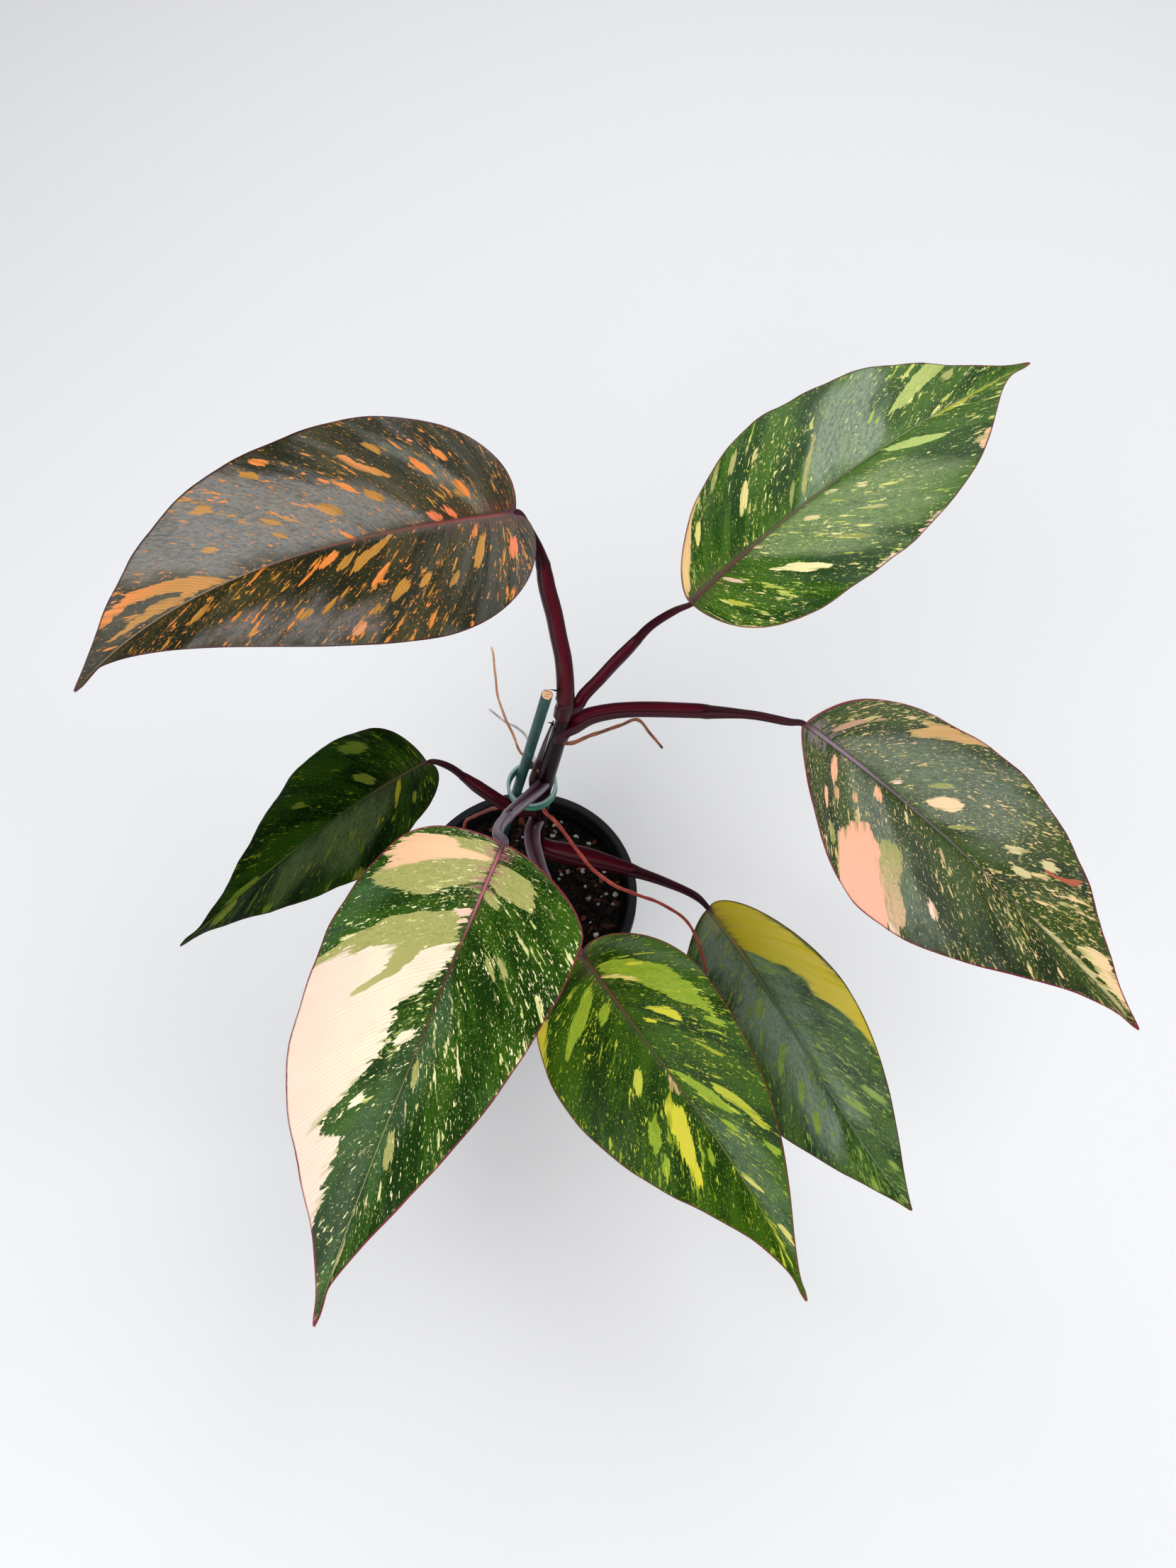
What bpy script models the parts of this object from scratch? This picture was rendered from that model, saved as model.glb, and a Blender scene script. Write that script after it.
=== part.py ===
"""Potted orange princess philodendron: a young climbing plant, tied to a stake, in a round nursery pot.

Units are metres with +Z up. The origin is the middle of the pot's underside, where the pot stands.
Routes and leaf sizes are given in millimetres and are scaled by MM where a mesh is made.
"""
import math
import random
from typing import NamedTuple

import bmesh
import bpy
import numpy as np
from mathutils import Vector

MM = 0.001

# Clear space between two pieces that touch
TOUCH_GAP = 0.3 * MM
# How far a cutter stands out from the piece it copies, a little more than the gap at its corners
CUTTER_GROWTH = 0.42 * MM

# Pot: a thin moulded cup with a rolled lip
POT_HEIGHT = 90 * MM
POT_RIM_RADIUS = 50 * MM
POT_FOOT_RADIUS = 37 * MM
POT_WALL = 1.2 * MM
POT_FLOOR = 1.6 * MM
LIP_WIDTH = 2.6 * MM
LIP_DROP = 6 * MM
TURNED_STEPS = 48
DRAIN_HOLES = 6
DRAIN_HOLE_RADIUS = 3.5 * MM
DRAIN_HOLE_RING = 25 * MM

# Soil: the filled inside of the pot, with a low mound at the stem and grains on top
SOIL_LEVEL = 81 * MM
SOIL_MOUND = 2.5 * MM
SOIL_MOUND_SPREAD = 14 * MM
SOIL_RELIEF = 0.9 * MM
SOIL_RINGS = 7
PERLITE_GRAINS = 28
BARK_CHIPS = 16
GRAIN_SEED = 7

# Stake: a bamboo stick pushed into the soil, cut square at the top
STAKE_FOOT = (-19.9, 30.6, 40)
STAKE_TOP = (14.4, 8.2, 242.6)
STAKE_RADIUS = 2.0

# Tie: a soft plastic ring round the stem and the stake
TIE_CENTRE = (6.2, 12.3, 168.8)
TIE_HEIGHT = 5 * MM
TIE_RADIUS = 9.9 * MM
TIE_WALL = 1.2 * MM

# Stem: it leans away from the soil to the tie, then to its youngest leaf
STEM_ROUTE = (
    (1.5, 22.5, 45),
    (3, 21, 75),
    (4.5, 19, 100),
    (8.4, 14.4, 145),
    (10.6, 11.2, 170),
    (16.2, 12.6, 200),
    (19.9, 13.2, 220),
    (20.3, 11.3, 240),
)
STEM_RADII = (3.6, 4.0, 3.9, 3.5, 3.35, 3.3, 3.3, 2.9)

# Sheath: the dry bract that stands at the stem, from the tie up to its pointed tip
SHEATH_FOOT_HEIGHT = 164
SHEATH_TIP_HEIGHT = 213
SHEATH_FACING = 143
SHEATH_TIP_HALF_ANGLE = 5
SHEATH_SPREAD = 42
SHEATH_TIP_RADIUS = 4.0
SHEATH_STAND_OFF = 2.7
SHEATH_THICKNESS = 0.8 * MM
SHEATH_ROWS = 12
SHEATH_COLUMNS = 6

# Leaf blades
BLADE_THICKNESS = 0.8 * MM
MIDRIB_DEPTH = 2.4 * MM
BLADE_ROWS = 20
BLADE_COLUMNS = 3
OUTLINE_POINTS = 60
VEIN_SWEEP = 0.65
MIDRIB_TAPER = 0.8
SWAY_BACK = 10.4
EDGE_WAVE = 1.0
EDGE_WAVE_LENGTH = 48
EDGE_WAVE_STARTS = (0.4, 2.3)
PETIOLE_DROP = 1.3
PETIOLE_SETBACK = 0.4


class Half(NamedTuple):
    """One half of a blade's outline, from the petiole to the tip, in millimetres.

    width is the greatest reach from the midrib, and widest_at is how far along the midrib that is.
    lobe gives how far the outline first runs back and out, shoulder and flank how long it stays wide
    before and after the widest place, and taper the handle that draws it out to the tip.
    """

    width: float
    widest_at: float
    lobe: tuple
    shoulder: float
    flank: float
    taper: tuple


class Leaf(NamedTuple):
    """One leaf: where its blade begins and ends, how the blade is bent, and its petiole.

    base and tip are the ends of the midrib. roll turns the blade about the line between them, fold lifts
    both halves, all in degrees. arch and sway are how far the midrib bows up and sideways, twist_sway
    how far it bows one way and then back, and droop how far a half has sunk a third of a length out.
    petiole lists the points of the leaf stalk's middle between stem and blade, and stalk_radii goes
    from the stem to the blade.
    """

    base: tuple
    tip: tuple
    roll: float
    fold: float
    arch: float
    sway: float
    twist_sway: float
    droop: float
    left: Half
    right: Half
    petiole: tuple
    stalk_radii: tuple


# The leaves, from the oldest and lowest to the youngest at the top
LEAVES = (
    Leaf(
        base=(76.1, -27.0, 137.9), tip=(155.1, -135.8, 92.6),
        roll=22, fold=13.5, arch=8, sway=0.6, twist_sway=2.6, droop=7.3,
        left=Half(28, 53, (5, 12), 20, 36, (19.5, 8)),
        right=Half(37.5, 45.5, (0.5, 9.5), 25, 31.5, (24, 7)),
        petiole=((4.6, 18.9, 101), (11.5, 13.6, 105), (19, 9.5, 109.6), (40.3, -0.7, 120),
                 (60.3, -12.4, 130), (72.0, -21.2, 136)),
        stalk_radii=(3.2, 4.2, 4.2, 2.9, 2.2, 1.7, 1.5),
    ),
    Leaf(
        base=(25.5, -55.7, 166.2), tip=(106.5, -170.3, 119.3),
        roll=19, fold=13.8, arch=8.2, sway=5.5, twist_sway=-1.9, droop=7.3,
        left=Half(33, 32.5, (5, 10), 22.5, 55.5, (34, 2.5)),
        right=Half(38, 40.5, (7, 15), 31, 46, (41, 2.5)),
        petiole=((7.5, 15.4, 133.5), (5.4, 8.5, 137), (5.6, -0.4, 141), (7.7, -9.1, 144.5),
                 (9.9, -16.2, 147.6), (15.9, -31.1, 154.5), (23.6, -51.5, 164)),
        stalk_radii=(3.0, 3.3, 3.2, 2.7, 2.3, 1.9, 1.6, 1.5),
    ),
    Leaf(
        base=(-34.3, 18.2, 178.1), tip=(-134.2, -41.7, 134.2),
        roll=13, fold=11, arch=6.4, sway=1.3, twist_sway=-2.1, droop=6.4,
        left=Half(33.5, 41, (10.5, 15.5), 27, 23.5, (26, 3)),
        right=Half(33.5, 28.5, (-1.5, 10), 21.5, 37.5, (38, 0)),
        petiole=((8.5, 14.2, 145.5), (1.6, 12.2, 147.4), (-5.3, 12.2, 151.9), (-11.0, 13.7, 157.1),
                 (-17.7, 15.8, 163.6), (-25.9, 18.8, 172), (-31.5, 19.0, 176.2)),
        stalk_radii=(2.8, 2.8, 2.6, 2.5, 2.4, 1.6, 1.4, 1.35),
    ),
    Leaf(
        base=(0.7, -42.0, 232.8), tip=(-54.5, -182.1, 189.1),
        roll=8, fold=14, arch=9.7, sway=1.8, twist_sway=0.6, droop=6.8,
        left=Half(39.5, 25, (0, 5.5), 11.5, 63, (20, -6.5)),
        right=Half(42, 53, (4, 32), 41.5, 58.5, (45, 9)),
        petiole=((12.1, 11.5, 175), (9.5, 5.8, 179), (4.3, -6.1, 191), (1.2, -15.2, 201.5),
                 (-0.8, -22.4, 210), (-2.0, -29.3, 218.3), (-1.5, -36.0, 226)),
        stalk_radii=(2.4, 2.4, 2.2, 2.1, 2.1, 2.0, 1.9, 1.8),
    ),
    Leaf(
        base=(99.1, -4.8, 246.0), tip=(205.9, -95.8, 205.5),
        roll=4, fold=9.6, arch=8.2, sway=0.1, twist_sway=0.6, droop=8.4,
        left=Half(34.5, 61, (-4, 21.5), 38, 34.5, (34.5, 9)),
        right=Half(39, 48.5, (4, 2.5), 16.5, 39, (38.5, 5)),
        petiole=((19.0, 13.3, 211.5), (23.2, 12.8, 214.8), (28.5, 13.9, 218.4), (36.5, 13.7, 222.3),
                 (45.3, 12.3, 225.9), (62.2, 7.9, 232.5), (82.7, 1.7, 240.4), (94.5, -3.2, 244)),
        stalk_radii=(2.8, 2.6, 2.5, 2.5, 2.4, 2.3, 1.6, 1.45, 1.4),
    ),
    Leaf(
        base=(62.9, 40.6, 250.2), tip=(187.7, 130.0, 273.0),
        roll=-1.3, fold=12, arch=9.1, sway=1.5, twist_sway=0.3, droop=8.4,
        left=Half(36.5, 59.5, (1.5, 7.5), 33, 58, (33, 8)),
        right=Half(38.5, 51, (0, 22.5), 39.5, 69.5, (29.5, -1.5)),
        petiole=((20.1, 12.6, 224.5), (24.5, 13.0, 227.9), (26.7, 15.5, 230.1), (32.2, 20.0, 233.6),
                 (37.3, 24.4, 237), (42.4, 28.5, 240.2), (49.4, 34.4, 244.8), (58.1, 38.6, 248.3)),
        stalk_radii=(2.2, 2.1, 2.0, 2.0, 2.0, 1.7, 1.5, 1.4, 1.35),
    ),
    Leaf(
        base=(5.3, 47.0, 288.8), tip=(-140.7, 4.3, 250.0),
        roll=-29, fold=13, arch=14.2, sway=-11, twist_sway=2.1, droop=8.3,
        left=Half(36, 29, (11.5, 4), 31, 55.5, (12, -8.5)),
        right=Half(36, 46.5, (4, 17), 32, 58, (34, 9)),
        petiole=((20.3, 11.5, 237), (20.3, 15.5, 243.6), (19.7, 19.3, 248.5), (18.3, 23.7, 254.3),
                 (17.0, 28.0, 260.2), (14.8, 33.3, 267.7), (12.9, 39.5, 276.4), (9.0, 44.6, 283.4)),
        stalk_radii=(2.8, 2.9, 2.9, 2.9, 2.9, 2.8, 2.0, 1.7, 1.6),
    ),
)


class Root(NamedTuple):
    """One aerial root: its colour name, the points of its middle from the stem out, and its radii."""

    colour: str
    route: tuple
    radii: tuple


ROOTS = (
    Root("tan", ((10.8, 12.0, 172), (6.8, 17.6, 177.5), (2.4, 19.4, 183), (-0.1, 23.8, 184.8),
                 (-4.4, 33.8, 187.7), (-7.2, 42.7, 190.4), (-8.1, 48.7, 192.3), (-8.8, 56.6, 194.8),
                 (-9.7, 59.6, 195.7)),
         (0.5, 0.5, 0.4)),
    Root("grey", ((9.2, 13.8, 157), (7.5, 24.0, 156.5), (2.3, 43.7, 153.6), (-6.4, 55.5, 144),
                  (-15.5, 69.0, 133)),
         (0.6, 0.55, 0.45)),
    Root("brown", ((16.9, 12.8, 202), (22.5, 12.4, 202.6), (30.3, 15.7, 203.6), (39.7, 18.6, 204.3),
                   (46.2, 20.8, 204.8), (51.0, 16.9, 202.2), (55.7, 12.0, 199.1)),
         (0.8, 0.65, 0.5)),
    Root("red", ((9.2, 13.4, 154), (10.8, 8.6, 153), (15.7, 4.0, 152.3), (27.4, -12.3, 150.6),
                 (38.8, -22.5, 150.5), (53.5, -29.4, 152.7), (66.6, -39.0, 153.4), (70.8, -48.9, 152.3),
                 (72.9, -58.5, 150.9)),
         (0.8, 0.7, 0.55)),
    Root("rust", ((8.1, 14.7, 141), (1.5, 13.4, 143.5), (-4.6, 16.0, 143), (-9.3, 19.5, 135.3),
                  (-14.4, 22.0, 127.6), (-20.7, 24.1, 118.5), (-26.2, 26.0, 107), (-28.5, 26.5, 90),
                  (-27.5, 25.5, 66)),
         (0.9, 0.8, 0.7)),
)

# Colours, roughness and metallic value of each material
FINISHES = {
    "black_plastic": ((0.012, 0.012, 0.014), 0.5, 0.0),
    "dark_soil": ((0.035, 0.022, 0.014), 0.95, 0.0),
    "green_paint": ((0.008, 0.085, 0.075), 0.55, 0.0),
    "green_tie": ((0.04, 0.3, 0.2), 0.45, 0.0),
    "maroon_stem": ((0.045, 0.008, 0.014), 0.35, 0.0),
    "red_bract": ((0.12, 0.01, 0.012), 0.5, 0.0),
    "maroon_stalk": ((0.06, 0.008, 0.014), 0.35, 0.0),
    "green_blade": ((0.03, 0.1, 0.025), 0.4, 0.0),
    "root_tan": ((0.5, 0.24, 0.1), 0.6, 0.0),
    "root_grey": ((0.4, 0.38, 0.34), 0.7, 0.0),
    "root_brown": ((0.25, 0.08, 0.03), 0.6, 0.0),
    "root_red": ((0.38, 0.05, 0.04), 0.5, 0.0),
    "root_rust": ((0.24, 0.03, 0.02), 0.6, 0.0),
}


def new_collection(name):
    """Adds a collection to the scene, in place of an older one of the same name."""
    old = bpy.data.collections.get(name)
    if old:
        bpy.data.collections.remove(old)
    made = bpy.data.collections.new(name)
    bpy.context.scene.collection.children.link(made)
    return made


def material(name):
    """The named finish as a Principled material, made once."""
    found = bpy.data.materials.get(name)
    if found:
        return found
    colour, roughness, metallic = FINISHES[name]
    made = bpy.data.materials.new(name)
    made.use_nodes = True
    shader = made.node_tree.nodes["Principled BSDF"]
    shader.inputs["Base Color"].default_value = (*colour, 1)
    shader.inputs["Roughness"].default_value = roughness
    shader.inputs["Metallic"].default_value = metallic
    return made


def add_piece(name, mesh, finish=None, home=None):
    """Puts a mesh in the scene as an object, in its collection and with its finish."""
    piece = bpy.data.objects.new(name, mesh)
    (home or bpy.context.scene.collection).objects.link(piece)
    if finish:
        mesh.materials.clear()
        mesh.materials.append(material(finish))
    return piece


def applied(piece):
    """Gives the piece the mesh that its modifiers make, and takes the modifiers off."""
    bpy.context.view_layer.update()
    evaluated = piece.evaluated_get(bpy.context.evaluated_depsgraph_get())
    mesh = bpy.data.meshes.new_from_object(evaluated)
    piece.modifiers.clear()
    piece.data = mesh
    return piece


def shade_round(mesh, sharp_angle=40):
    """Shades a mesh smooth, apart from its sharp edges."""
    mesh.shade_smooth()
    mesh.set_sharp_from_angle(angle=math.radians(sharp_angle))


def turned(name, profile, finish, home):
    """A turned piece: the profile, as (radius, height) points, is swept once round the Z axis."""
    mesh = bpy.data.meshes.new(name)
    points = [(radius, 0, height) for radius, height in profile]
    mesh.from_pydata(points, [(i, i + 1) for i in range(len(points) - 1)], [])
    piece = add_piece(name, mesh, finish, home)
    screw = piece.modifiers.new("Screw", "SCREW")
    screw.steps = screw.render_steps = TURNED_STEPS
    screw.use_merge_vertices = True
    screw.merge_threshold = 0.00005
    shade_round(applied(piece).data)
    return piece


def smooth_route(points, count):
    """Reads count points from a smooth curve through the given ones (Catmull-Rom, centripetal)."""
    points = np.array(points, float)
    points = np.vstack([2 * points[0] - points[1], points, 2 * points[-1] - points[-2]])
    steps = np.sqrt(np.linalg.norm(np.diff(points, axis=0), axis=1))
    knots = np.concatenate([[0], np.cumsum(steps)])
    made = []
    for t in np.linspace(knots[1], knots[-2], count):
        i = min(max(int(np.searchsorted(knots, t)) - 1, 1), len(points) - 3)
        p, k = points[i - 1:i + 3], knots[i - 1:i + 3]
        a = [(p[j] * (k[j + 1] - t) + p[j + 1] * (t - k[j])) / (k[j + 1] - k[j]) for j in range(3)]
        b = [(a[j] * (k[j + 2] - t) + a[j + 1] * (t - k[j])) / (k[j + 2] - k[j]) for j in range(2)]
        made.append((b[0] * (k[2] - t) + b[1] * (t - k[1])) / (k[2] - k[1]))
    return np.array(made)


def tube(name, route, radii, finish, home, count, resolution=3):
    """A round tube along a smooth route in millimetres, its radii spread evenly from end to end.

    count is the number of rings along it, and resolution sets the sides: 8, 10 or 12 for 2, 3 or 4.
    """
    points = smooth_route(route, count)
    spread = np.interp(np.linspace(0, 1, count), np.linspace(0, 1, len(radii)), radii)
    curve = bpy.data.curves.new(name, "CURVE")
    curve.dimensions = "3D"
    curve.bevel_depth = MM
    curve.bevel_resolution = resolution
    curve.use_fill_caps = True
    spline = curve.splines.new("POLY")
    spline.points.add(count - 1)
    for knot, point, radius in zip(spline.points, points * MM, spread):
        knot.co = (*point, 1)
        knot.radius = radius
    guide = bpy.data.objects.new(name + "_curve", curve)
    bpy.context.scene.collection.objects.link(guide)
    bpy.context.view_layer.update()
    mesh = bpy.data.meshes.new_from_object(guide.evaluated_get(bpy.context.evaluated_depsgraph_get()))
    bpy.data.objects.remove(guide)
    weld(mesh)
    mesh.name = name
    shade_round(mesh)
    return add_piece(name, mesh, finish, home)


def weld(mesh, distance=0.00001):
    """Joins a mesh's double points and drops what has no area left."""
    work = bmesh.new()
    work.from_mesh(mesh)
    bmesh.ops.remove_doubles(work, verts=work.verts, dist=distance)
    bmesh.ops.dissolve_degenerate(work, edges=work.edges, dist=distance / 10)
    work.to_mesh(mesh)
    work.free()


def grown_cutter(piece, home):
    """A copy of a piece that stands out by the cutters' growth, to cut its neighbours clear of it."""
    cutter = bpy.data.objects.new(piece.name + "_cutter", piece.data.copy())
    home.objects.link(cutter)
    grow = cutter.modifiers.new("Grow", "DISPLACE")
    grow.strength = CUTTER_GROWTH
    grow.mid_level = 0
    cutter.hide_render = True
    cutter.display_type = "WIRE"
    return applied(cutter)


def cut(piece, cutters):
    """Takes the cutters' shapes out of a piece, and keeps its largest body."""
    for cutter in cutters:
        boolean = piece.modifiers.new("Cut", "BOOLEAN")
        boolean.operation = "DIFFERENCE"
        boolean.object = cutter
        applied(piece)
    keep_largest_body(piece.data)
    return piece


def keep_largest_body(mesh):
    """Drops loose scraps: only the connected body with the most room stays."""
    work = bmesh.new()
    work.from_mesh(mesh)
    bmesh.ops.remove_doubles(work, verts=work.verts, dist=0.000001)
    left = set(work.verts)
    bodies = []
    while left:
        body = set()
        front = [left.pop()]
        while front:
            point = front.pop()
            body.add(point)
            near = {edge.other_vert(point) for edge in point.link_edges} & left
            left -= near
            front.extend(near)
        bodies.append(body)
    bodies.sort(key=body_diagonal)
    for scrap in bodies[:-1]:
        bmesh.ops.delete(work, geom=list(scrap), context="VERTS")
    work.to_mesh(mesh)
    work.free()


def body_diagonal(points):
    """The length of the diagonal of a body's box."""
    places = np.array([point.co[:] for point in points])
    return float(np.linalg.norm(places.max(axis=0) - places.min(axis=0)))


def fuse(piece, repeats):
    """Joins many small pieces to one by a single union on their collection, and removes them."""
    group = new_collection("repeats")
    for repeat in repeats:
        group.objects.link(repeat)
    union = piece.modifiers.new("Union", "BOOLEAN")
    union.operation = "UNION"
    union.operand_type = "COLLECTION"
    union.collection = group
    applied(piece)
    for repeat in repeats:
        bpy.data.objects.remove(repeat)
    bpy.data.collections.remove(group)
    keep_largest_body(piece.data)
    return piece


def pot_wall_radius(height):
    """The outer radius of the pot's plain wall at a height."""
    top = POT_RIM_RADIUS - LIP_WIDTH
    return POT_FOOT_RADIUS + (top - POT_FOOT_RADIUS) * height / POT_HEIGHT


def make_pot(home, cutter_home):
    """The pot: one profile from the floor up inside and over the lip down outside, with drain holes."""
    inner_top = pot_wall_radius(POT_HEIGHT) - POT_WALL
    inner_foot = pot_wall_radius(POT_FLOOR) - POT_WALL
    lip_round = 0.9 * MM
    under_lip = POT_HEIGHT - LIP_DROP
    profile = [
        (0, POT_FLOOR),
        (inner_foot - 1.5 * MM, POT_FLOOR),
        (inner_foot, POT_FLOOR + 1.5 * MM),
        (inner_top, POT_HEIGHT - lip_round),
        (inner_top + lip_round, POT_HEIGHT),
        (POT_RIM_RADIUS - lip_round, POT_HEIGHT),
        (POT_RIM_RADIUS, POT_HEIGHT - lip_round),
        (POT_RIM_RADIUS, under_lip),
        (pot_wall_radius(under_lip), under_lip),
        (pot_wall_radius(2 * MM), 2 * MM),
        (POT_FOOT_RADIUS - 1.2 * MM, 0),
        (0, 0),
    ]
    pot = turned("pot", profile, "black_plastic", home)
    drills = []
    for i in range(DRAIN_HOLES):
        angle = 2 * math.pi * i / DRAIN_HOLES
        mesh = bpy.data.meshes.new("drain_hole")
        work = bmesh.new()
        bmesh.ops.create_cone(work, cap_ends=True, segments=12, radius1=DRAIN_HOLE_RADIUS,
                              radius2=DRAIN_HOLE_RADIUS, depth=4 * POT_FLOOR)
        work.to_mesh(mesh)
        work.free()
        drill = add_piece("drain_hole_%d" % (i + 1), mesh, None, cutter_home)
        drill.location = (DRAIN_HOLE_RING * math.cos(angle), DRAIN_HOLE_RING * math.sin(angle), 0)
        drill.hide_render = True
        drill.display_type = "WIRE"
        drills.append(drill)
    bpy.context.view_layer.update()
    cut(pot, drills)
    shade_round(pot.data)
    return pot


def soil_height(x, y):
    """The soil's top: level, with a mound at the stem's foot and low waves from crossed sines."""
    foot_x, foot_y = STEM_ROUTE[1][0] * MM, STEM_ROUTE[1][1] * MM
    away = ((x - foot_x) ** 2 + (y - foot_y) ** 2) / SOIL_MOUND_SPREAD ** 2
    waves = math.sin(x / (3.1 * MM) + 1.3 * math.sin(y / (5.2 * MM))) * math.cos(y / (3.7 * MM))
    return SOIL_LEVEL + SOIL_MOUND * math.exp(-away) + SOIL_RELIEF * waves


def make_soil(home, cutters):
    """The soil: a turned fill with a waved top, grains fused in, and plain holes for what stands in it."""
    foot = POT_FLOOR + TOUCH_GAP
    inner_low = pot_wall_radius(foot) - POT_WALL - TOUCH_GAP
    inner_high = pot_wall_radius(SOIL_LEVEL) - POT_WALL - TOUCH_GAP
    edge = SOIL_LEVEL - SOIL_RELIEF
    rings = [(inner_high * i / SOIL_RINGS, SOIL_LEVEL) for i in range(SOIL_RINGS)]
    wall = [(inner_high - 0.2 * MM, edge), (inner_low, foot + 1.5 * MM), (inner_low - 1.5 * MM, foot)]
    profile = rings + wall + [(0, foot)]
    soil = turned("soil", profile, "dark_soil", home)
    for point in soil.data.vertices:
        if abs(point.co.z - SOIL_LEVEL) < 0.1 * MM:
            fade = min(1, (inner_high - math.hypot(point.co.x, point.co.y)) / (6 * MM))
            point.co.z += (soil_height(point.co.x, point.co.y) - SOIL_LEVEL) * fade
    fuse(soil, soil_grains(inner_high - 5 * MM))
    cut(soil, cutters)
    return soil


def soil_grains(reach):
    """Perlite grains as rough balls and bark chips as flat slabs, scattered over the soil and sunk in."""
    draw = random.Random(GRAIN_SEED)
    grains = []
    for i in range(PERLITE_GRAINS + BARK_CHIPS):
        radius = reach * math.sqrt(draw.random())
        angle = draw.uniform(0, 2 * math.pi)
        x, y = radius * math.cos(angle), radius * math.sin(angle)
        mesh = bpy.data.meshes.new("grain")
        work = bmesh.new()
        if i < PERLITE_GRAINS:
            bmesh.ops.create_icosphere(work, subdivisions=1, radius=draw.uniform(1.0, 1.9) * MM)
            shape = (1, draw.uniform(0.75, 1), draw.uniform(0.75, 0.95))
            sink = 0.1 * MM
        else:
            bmesh.ops.create_cube(work, size=2 * MM)
            shape = (draw.uniform(1.6, 3.2), draw.uniform(1.0, 1.8), draw.uniform(0.8, 1.2))
            sink = 0.35 * MM
        bmesh.ops.scale(work, vec=shape, verts=work.verts)
        turn = Vector((draw.uniform(-0.35, 0.35), draw.uniform(-0.35, 0.35), draw.uniform(0, math.pi)))
        work.to_mesh(mesh)
        work.free()
        grain = bpy.data.objects.new("grain_%d" % i, mesh)
        grain.rotation_euler = turn
        grain.location = (x, y, soil_height(x, y) - sink)
        grains.append(grain)
    return grains


def make_tie(home):
    """The tie: a turned ring with rounded edges, moved to where it holds the stem to the stake."""
    half = TIE_HEIGHT / 2
    inner = TIE_RADIUS - TIE_WALL
    soft = 0.35 * MM
    profile = [
        (inner, half - soft),
        (inner + soft, half),
        (TIE_RADIUS - soft, half),
        (TIE_RADIUS, half - soft),
        (TIE_RADIUS, soft - half),
        (TIE_RADIUS - soft, -half),
        (inner + soft, -half),
        (inner, soft - half),
        (inner, half - soft),
    ]
    tie = turned("tie_ring", profile, "green_tie", home)
    weld(tie.data)
    tie.location = Vector(TIE_CENTRE) * MM
    return tie


def stem_place(height):
    """The middle of the stem at a height, in millimetres."""
    route = smooth_route(STEM_ROUTE, 200)
    return np.array([np.interp(height, route[:, 2], route[:, axis]) for axis in range(3)])


def grid_mesh(name, points):
    """A mesh of triangles over rows and columns of points, with the rows that shrink to a point welded."""
    rows, columns = points.shape[:2]
    mesh = bpy.data.meshes.new(name)
    work = bmesh.new()
    bmesh.ops.create_grid(work, x_segments=columns - 1, y_segments=rows - 1, size=1)
    work.to_mesh(mesh)
    mesh.vertices.foreach_set("co", points.astype(np.float32).ravel())
    work.free()
    return mesh


def triangulate(mesh):
    """Splits a mesh into triangles, so that both faces of the shell made from it are split alike."""
    work = bmesh.new()
    work.from_mesh(mesh)
    bmesh.ops.remove_doubles(work, verts=work.verts, dist=0.00002)
    bmesh.ops.triangulate(work, faces=work.faces, quad_method="FIXED")
    bmesh.ops.recalc_face_normals(work, faces=work.faces)
    work.to_mesh(mesh)
    work.free()


def make_sheath(home, cutters):
    """The bract: part of a funnel round the stem, close at its foot and narrowed to a point at its top.

    It stands off most a quarter of the way up.
    """
    rise = np.linspace(0, 1, SHEATH_ROWS)
    across = np.linspace(-1, 1, SHEATH_COLUMNS + 1)
    points = np.zeros((SHEATH_ROWS, SHEATH_COLUMNS + 1, 3))
    for row, share in enumerate(rise):
        height = SHEATH_FOOT_HEIGHT + (SHEATH_TIP_HEIGHT - SHEATH_FOOT_HEIGHT) * share
        radius = SHEATH_TIP_RADIUS + SHEATH_STAND_OFF * (1 - share) * min(1, 4 * share)
        half_angle = math.radians(SHEATH_TIP_HALF_ANGLE + SHEATH_SPREAD * (1 - share) ** 0.7)
        angles = math.radians(SHEATH_FACING) + across * half_angle
        ring = np.stack([np.cos(angles), np.sin(angles), 0 * angles], axis=1) * radius
        points[row] = stem_place(height) + ring
    mesh = grid_mesh("sheath", points * MM)
    triangulate(mesh)
    sheath = add_piece("sheath", mesh, "red_bract", home)
    shell = sheath.modifiers.new("Thickness", "SOLIDIFY")
    shell.thickness = SHEATH_THICKNESS
    shell.offset = 0
    applied(sheath)
    cut(sheath, cutters)
    shade_round(sheath.data)
    return sheath


def bezier(start, first, second, end, t):
    """Points of a cubic Bezier curve at the values t."""
    start, first, second, end = (np.array(point, float) for point in (start, first, second, end))
    t = t[:, None]
    return (1 - t) ** 3 * start + 3 * t * (1 - t) ** 2 * first + 3 * t * t * (1 - t) * second + t ** 3 * end


def half_outline(half, length):
    """Points along one half of the outline, evenly spaced, from the petiole to the tip."""
    t = np.linspace(0, 1, 80)
    widest = (half.widest_at, half.width)
    back, out = half.lobe
    ahead, beside = half.taper
    first = bezier((0, 0), (-back, out), (half.widest_at - half.shoulder, half.width), widest, t)
    leaving = (half.widest_at + half.flank, half.width)
    second = bezier(widest, leaving, (length - ahead, beside), (length, 0), t)
    points = np.vstack([first, second[1:]])
    run = np.concatenate([[0], np.cumsum(np.linalg.norm(np.diff(points, axis=0), axis=1))])
    even = np.linspace(0, run[-1], OUTLINE_POINTS)
    return np.stack([np.interp(even, run, points[:, axis]) for axis in range(2)], axis=1)


def unit(vectors):
    """Vectors scaled to length one."""
    return vectors / np.linalg.norm(vectors, axis=-1, keepdims=True)


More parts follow.
